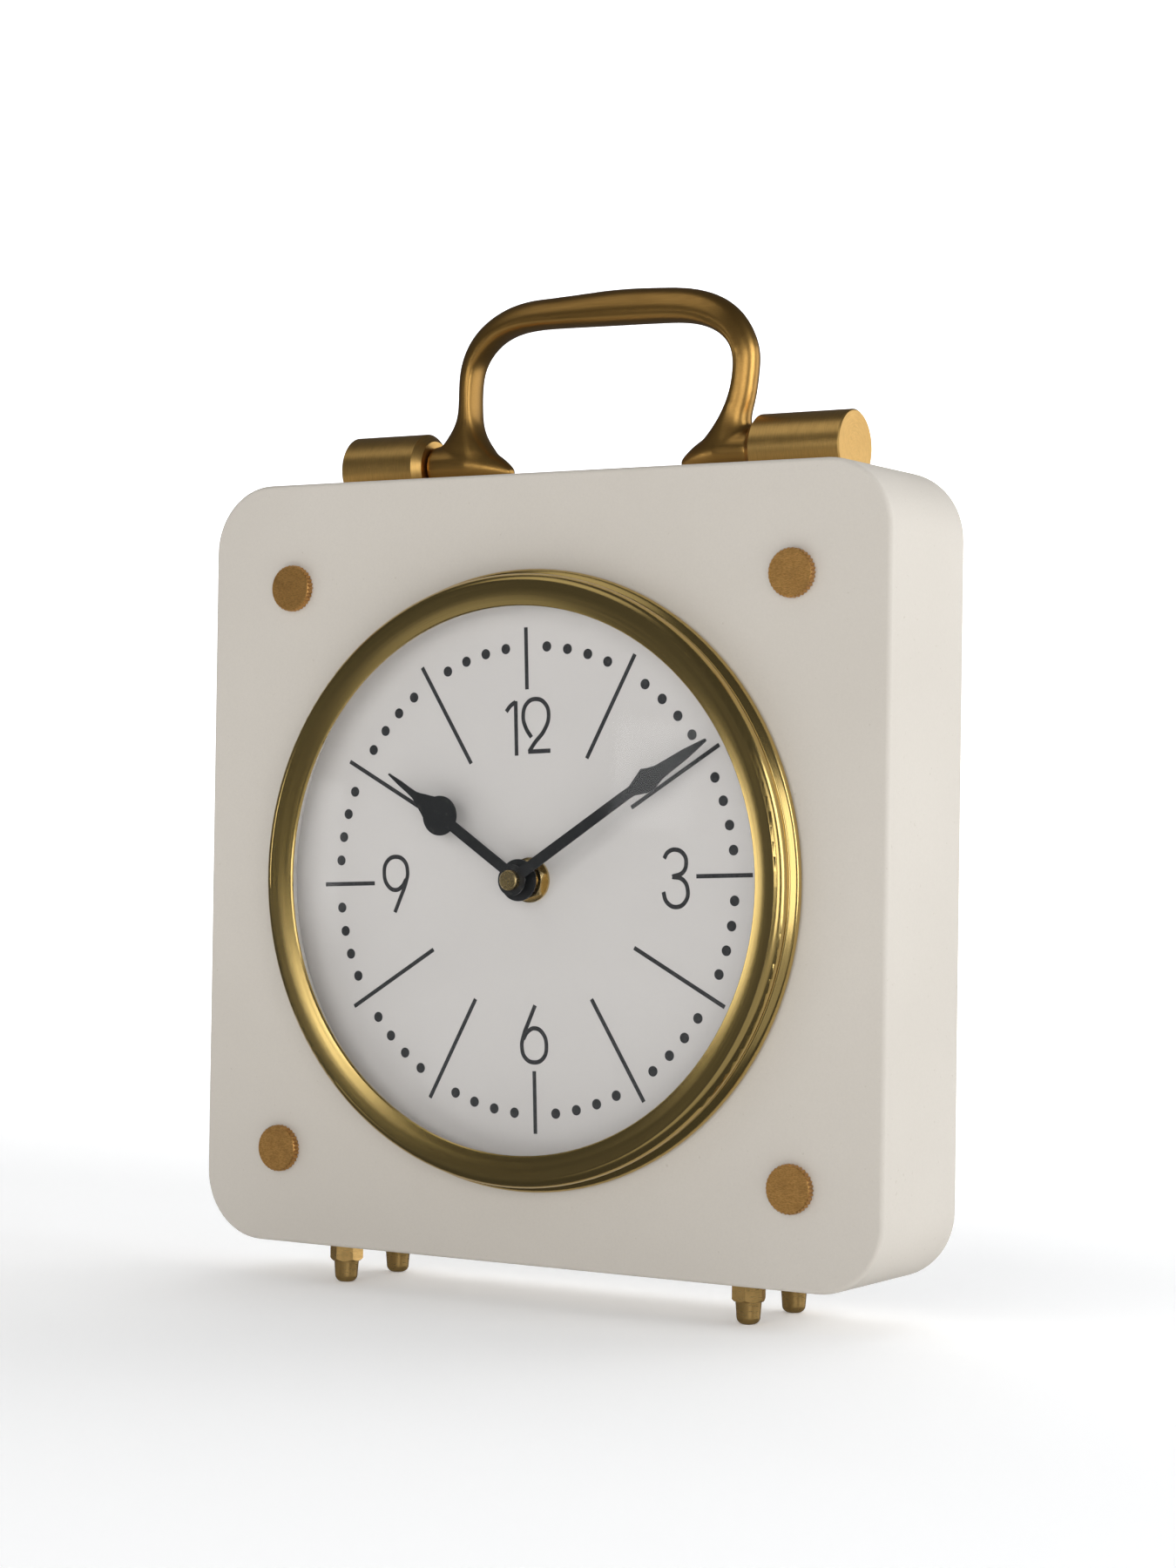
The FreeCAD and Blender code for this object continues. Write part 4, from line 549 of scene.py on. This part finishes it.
# %% Numbers
strokes = {
    "1": [[(-2.1, 5.0), (-0.6, 6.6), (1.2, 7.7)], [(1.2, 7.9), (1.2, -7.9)]],
    "2": [[(-1.7, -3.3), (-3.6, -0.4), (-4.4, 3.0), (-3.1, 6.5), (0.0, 7.7), (3.2, 6.2), (4.3, 2.6),
           (2.6, -1.6), (-0.4, -4.7), (-2.6, -7.4)], [(-2.9, -7.4), (4.7, -7.4)]],
    "3": [[(-3.4, 5.6), (-2.2, 7.3), (0.4, 8.0), (3.0, 6.6), (3.7, 4.2), (2.7, 1.7), (-0.9, 0.4)],
          [(-0.9, 0.4), (2.4, -0.4), (4.0, -3.2), (3.2, -6.6), (0.3, -8.1), (-2.8, -6.7), (-3.9, -3.8)]],
    "6": [[(0.6, 8.3), (-1.4, 4.2), (-3.6, -0.6), (-4.2, -3.6), (-3.1, -6.8), (0.0, -8.1), (3.1, -6.8),
           (4.2, -3.4), (3.0, 0.3), (0.3, 1.7), (-2.2, 0.6), (-3.6, -1.4)]],
}
strokes["9"] = [[(-x, -y) for x, y in stroke] for stroke in strokes["6"]]
number_places = [("1", -5.2, 43.9), ("2", 2.9, 44.4), ("3", 48.1, -0.4), ("6", 0.1, -44.4),
                 ("9", -47.3, -0.4)]
stroke_width = 1.28


def draw_number(digit, centre_x, centre_y):
    """Curve object for one number, flat on X and Y."""
    curve = bpy.data.curves.new("number_" + digit, "CURVE")
    curve.dimensions = "3D"
    curve.bevel_depth = stroke_width / 2000
    curve.bevel_resolution = 2
    curve.use_fill_caps = True
    curve.resolution_u = 10
    for stroke in strokes[digit]:
        spline = curve.splines.new("BEZIER")
        spline.bezier_points.add(len(stroke) - 1)
        for point, (x, y) in zip(spline.bezier_points, stroke):
            point.co = ((centre_x + x) / 1000, (centre_y + y) / 1000, 0)
            point.handle_left_type = point.handle_right_type = "AUTO"
    return bpy.data.objects.new("number_" + digit, curve)


def press_numbers():
    sheet = bmesh.new()
    for digit, x, y in number_places:
        drawn = draw_number(digit, x, y)
        bpy.context.collection.objects.link(drawn)
        evaluated = drawn.evaluated_get(bpy.context.evaluated_depsgraph_get())
        mesh = bpy.data.meshes.new_from_object(evaluated)
        sheet.from_mesh(mesh)
        bpy.data.objects.remove(drawn)
    flatten = print_film / (stroke_width / 1000)
    for vertex in sheet.verts:
        vertex.co.z *= flatten
    mesh = bpy.data.meshes.new("dial_numbers")
    sheet.to_mesh(mesh)
    sheet.free()
    lay_on_dial(mesh)
    made = bpy.data.objects.new("dial_numbers", mesh)
    bpy.context.collection.objects.link(made)
    return made


numbers = press_numbers()
numbers.data.materials.clear()
numbers.data.materials.append(ink.material)
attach(numbers, "clock")
print("numbers:", len(numbers.data.polygons), "faces")

# %% [markdown]
# ## Spun bezel
# The bezel is spun from brass sheet and polished while it turns, so every fine line runs round it.
# The pattern is laid out on the radius, the depth and the angle about the dial's axis: dense across
# the lines and slow along them.

# %% Bezel metal
def turned_metal(name, colour, dark, axis, centre, roughness, lines, streak, depth):
    """Metal with lines round an axis: how many to the metre, how dark and how deep."""
    finish = Finish(name, colour, roughness, 1.0)
    fine = finish.noise(around_axis(finish, axis, centre, lines, 3.0), 1.0, 2.0, 0.6)
    slow = finish.noise(around_axis(finish, axis, centre, lines / 5, 1.0), 1.0, 2.0)
    patina = finish.noise(finish.place, 40.0, 2.0)
    tone = finish.blend(finish.band(fine, 0.3, 0.75, 0, streak), colour, dark)
    finish.colour(finish.blend(finish.band(patina, 0.5, 0.85, 0, 0.12), tone, dark))
    finish.roughness(finish.band(slow, 0.3, 0.7, roughness - 0.03, roughness + 0.04))
    finish.normal(finish.bump(fine, 0.3, depth))
    return finish


dial_axis = (dial_x, 0, dial_z)
give(["bezel"],
     turned_metal("spun_gold_brass", (0.59, 0.43, 0.16), (0.36, 0.25, 0.085), "Y", dial_axis,
                  roughness=0.2, lines=5000.0, streak=0.4, depth=0.000005))

# %% [markdown]
# The sockets are turned about the line that the handle folds on, and brushed more coarsely.

# %% Socket metal
pivot_axis = (0, pivot_y, pivot_z)
give(["left_socket", "right_socket"],
     turned_metal("brushed_socket_brass", (0.74, 0.46, 0.15), (0.47, 0.28, 0.08), "X", pivot_axis,
                  roughness=0.33, lines=3200.0, streak=0.5, depth=0.000012))

# %% [markdown]
# ## Cast handle
# The handle is cast and then polished by hand.  Its creases are rounded on a copy of the packed
# shape, on an even grid.  It keeps fine lengthwise scratches and a slightly uneven surface, and soft
# browner patches where the lacquer pools.

# %% Handle casting
casting_grid = 0.00062
softening_passes = 14


def softened_handle():
    """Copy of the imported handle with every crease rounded, as a sand casting comes out of its mould."""
    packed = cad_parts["handle"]
    mesh = packed.data.copy()
    mesh.transform(packed.matrix_world)
    mesh.name = "handle_casting"
    casting = bpy.data.objects.new("handle_casting", mesh)
    bpy.context.collection.objects.link(casting)
    remesh = casting.modifiers.new("even_grid", "REMESH")
    remesh.mode = "VOXEL"
    remesh.voxel_size = casting_grid
    smooth = casting.modifiers.new("soften", "SMOOTH")
    smooth.factor = 0.5
    smooth.iterations = softening_passes
    evaluated = casting.evaluated_get(bpy.context.evaluated_depsgraph_get())
    softened = bpy.data.meshes.new_from_object(evaluated)
    softened.name = "handle_casting"
    casting.modifiers.clear()
    casting.data = softened
    for face in softened.polygons:
        face.use_smooth = True
    return casting


def cast_metal():
    finish = Finish("cast_handle_brass", (0.56, 0.38, 0.14), 0.27, 1.0)
    scratches = finish.noise(finish.stretched((90, 2600, 2600), (0, pivot_y, pivot_z)), 1.0, 2.0, 0.6)
    uneven = finish.noise(finish.place, 90.0, 2.0)
    pooled = finish.noise(finish.place, 55.0, 3.0)
    tone = finish.blend(finish.band(scratches, 0.3, 0.75, 0, 0.3), (0.47, 0.268, 0.076),
                        (0.31, 0.17, 0.043))
    finish.colour(finish.blend(finish.band(pooled, 0.5, 0.8, 0, 0.2), tone, (0.30, 0.17, 0.05)))
    finish.roughness(finish.band(scratches, 0.3, 0.7, 0.29, 0.38))
    under = finish.bump(uneven, 0.1, 0.0001)
    finish.normal(finish.bump(scratches, 0.2, 0.000008, under))
    return finish


handle_casting = softened_handle()
handle_metal = cast_metal()
handle_casting.data.materials.clear()
handle_casting.data.materials.append(handle_metal.material)
give(["handle"], handle_metal)
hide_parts("handle")
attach(handle_casting, "handle")
print("handle casting:", len(handle_casting.data.polygons), "faces")

# %% [markdown]
# ## Knurled screws and feet
# The screw heads are brushed straight across after turning, and darken in small stains.

# %% Screw metal
def brushed_screw_metal():
    finish = Finish("brushed_bronze_gold", (0.52, 0.31, 0.10), 0.34, 0.83)
    strokes_across = finish.noise(finish.stretched((1200, 3000, 3600)), 1.0, 3.0, 0.7)
    stains = finish.noise(finish.place, 260.0, 2.0)
    tone = finish.blend(finish.band(strokes_across, 0.35, 0.65, 0, 0.7), (0.66, 0.36, 0.11),
                        (0.31, 0.15, 0.04))
    finish.colour(finish.blend(finish.band(stains, 0.5, 0.8, 0, 0.45), tone, (0.25, 0.13, 0.04)))
    finish.roughness(finish.band(strokes_across, 0.3, 0.7, 0.28, 0.40))
    finish.normal(finish.bump(strokes_across, 0.6, 0.00006))
    return finish


give(["knurled_screws"], brushed_screw_metal())

# %% [markdown]
# The feet are small hexagons with acorn ends, turned about their own upright axes and left bright.

# %% Foot metal
def bright_foot_metal():
    finish = Finish("turned_foot_brass", (0.62, 0.46, 0.20), 0.3, 0.9)
    rings = finish.noise(finish.stretched((300, 300, 6000)), 1.0, 2.0)
    stains = finish.noise(finish.place, 300.0, 2.0)
    tone = finish.blend(finish.band(rings, 0.35, 0.75, 0, 0.3), (0.78, 0.50, 0.18), (0.50, 0.30, 0.10))
    finish.colour(finish.blend(finish.band(stains, 0.5, 0.8, 0, 0.4), tone, (0.30, 0.19, 0.06)))
    finish.roughness(finish.band(rings, 0.3, 0.7, 0.26, 0.38))
    finish.normal(finish.bump(rings, 0.25, 0.00002))
    return finish


give(["acorn_feet"], bright_foot_metal())

# %% [markdown]
# ## Hands and the stack under them
# The hands are stamped sheet under satin black.  The nut, washer, cap and threaded bush are turned
# brass, with fine rings about the dial's axis.

# %% Hands and shaft
def hand_paint():
    finish = Finish("satin_black_hands", (0.010, 0.011, 0.012), 0.45)
    grain = finish.noise(finish.place, 1400.0, 2.0)
    dust = finish.noise(finish.place, 420.0, 2.0)
    finish.colour(finish.blend(finish.band(dust, 0.62, 0.72, 0, 0.35), (0.010, 0.011, 0.012),
                               (0.06, 0.055, 0.05)))
    finish.roughness(finish.band(grain, 0.3, 0.7, 0.42, 0.54))
    finish.normal(finish.bump(grain, 0.2, 0.00004))
    return finish


give(["hour_hand", "minute_hand"], hand_paint())
give(["cap_nut", "shaft_nut", "shaft_washer", "shaft_bush", "minute_arbor", "threaded_inserts"],
     turned_metal("turned_shaft_brass", (0.66, 0.50, 0.24), (0.42, 0.29, 0.12), "Y", dial_axis,
                  roughness=0.26, lines=4000.0, streak=0.2, depth=0.000003))

# %% [markdown]
# ## Glass
# The lens is clear, so its finish is mostly absence.  Only the share of light that a glass surface
# mirrors is kept, more at a glancing angle and less straight on, and the rest passes through.

# %% Lens glass
def lens_glass():
    finish = Finish("clear_lens", (1, 1, 1), 0.03, 1.0)
    edge = finish.add("ShaderNodeLayerWeight")
    glance = finish.math("POWER", edge.outputs["Facing"], 4.0)
    film = finish.noise(finish.place, 30.0, 3.0)
    finish.join(finish.band(glance, 0.0, 1.0, 0.008, 0.4), finish.shader.inputs["Alpha"])
    finish.roughness(finish.band(film, 0.35, 0.75, 0.06, 0.14))
    finish.material.surface_render_method = "BLENDED"
    return finish


give(["glass_lens"], lens_glass())

# %% [markdown]
# ## Back and inside
# The back panel is black board, the movement a moulded black box with a coarse spark texture, and
# behind the opening lie the battery, the contacts and the setting knob.

# %% Plastics
def moulded(name, colour, lighter, roughness, grain_scale=1300.0, depth=0.00008):
    finish = Finish(name, colour, roughness)
    spark = finish.noise(finish.place, grain_scale, 3.0)
    wear = finish.noise(finish.place, 60.0, 3.0)
    finish.colour(finish.blend(finish.band(wear, 0.45, 0.75, 0, 1), colour, lighter))
    finish.roughness(finish.band(spark, 0.3, 0.7, roughness - 0.06, roughness + 0.08))
    finish.normal(finish.bump(spark, 0.4, depth))
    return finish


give(["back_panel"], moulded("black_board", (0.018, 0.017, 0.016), (0.035, 0.033, 0.031), 0.7, 900.0))
give(["movement_front_shell", "movement_cover", "setting_knob", "coil_bobbin", "chip_cover"],
     moulded("black_spark_plastic", (0.014, 0.014, 0.015), (0.028, 0.028, 0.03), 0.45))
give(["hour_wheel", "minute_wheel", "setting_arbor", "centre_wheel", "third_wheel", "seconds_wheel",
      "intermediate_wheel", "rotor_arbor"],
     moulded("white_gear_plastic", (0.78, 0.78, 0.72), (0.70, 0.69, 0.62), 0.4, 2200.0, 0.00003))
give(["lens_retainer"], moulded("pale_retainer", (0.80, 0.78, 0.75), (0.74, 0.72, 0.69), 0.5, 900.0,
                                0.00003))
give(["dial_gasket"], moulded("soft_black_rubber", (0.02, 0.02, 0.02), (0.04, 0.04, 0.04), 0.8, 1800.0))
give(["circuit_board"], moulded("green_board", (0.02, 0.14, 0.05), (0.03, 0.19, 0.07), 0.35, 700.0,
                                0.00003))
give(["battery"], moulded("battery_sleeve", (0.03, 0.035, 0.045), (0.05, 0.055, 0.065), 0.25, 500.0,
                          0.00002))

# %% [markdown]
# The small hardware is plated steel with a fine grain and a soft haze.  The same recipe in other
# colours makes the coil's copper and the rotor's dark magnet.

# %% Small metals
def plated_steel(name, colour, dark):
    finish = Finish(name, colour, 0.3, 1.0)
    marks = finish.noise(finish.stretched((900, 900, 4000)), 1.0, 3.0)
    haze = finish.noise(finish.place, 200.0, 2.0)
    tone = finish.blend(finish.band(marks, 0.35, 0.75, 0, 0.6), colour, dark)
    finish.colour(finish.blend(finish.band(haze, 0.5, 0.8, 0, 0.4), tone, dark))
    finish.roughness(finish.band(marks, 0.3, 0.7, 0.24, 0.42))
    finish.normal(finish.bump(marks, 0.3, 0.00003))
    return finish


give(["back_panel_screws", "foot_studs", "hinge_pins", "socket_screws", "movement_screws", "stator",
      "crystal_can", "battery_contacts"],
     plated_steel("zinc_plated_steel", (0.60, 0.60, 0.62), (0.36, 0.36, 0.37)))
give(["coil_winding"], plated_steel("enamelled_copper", (0.62, 0.24, 0.10), (0.35, 0.12, 0.05)))
give(["rotor_magnet"], plated_steel("dark_magnet", (0.14, 0.14, 0.15), (0.06, 0.06, 0.07)))
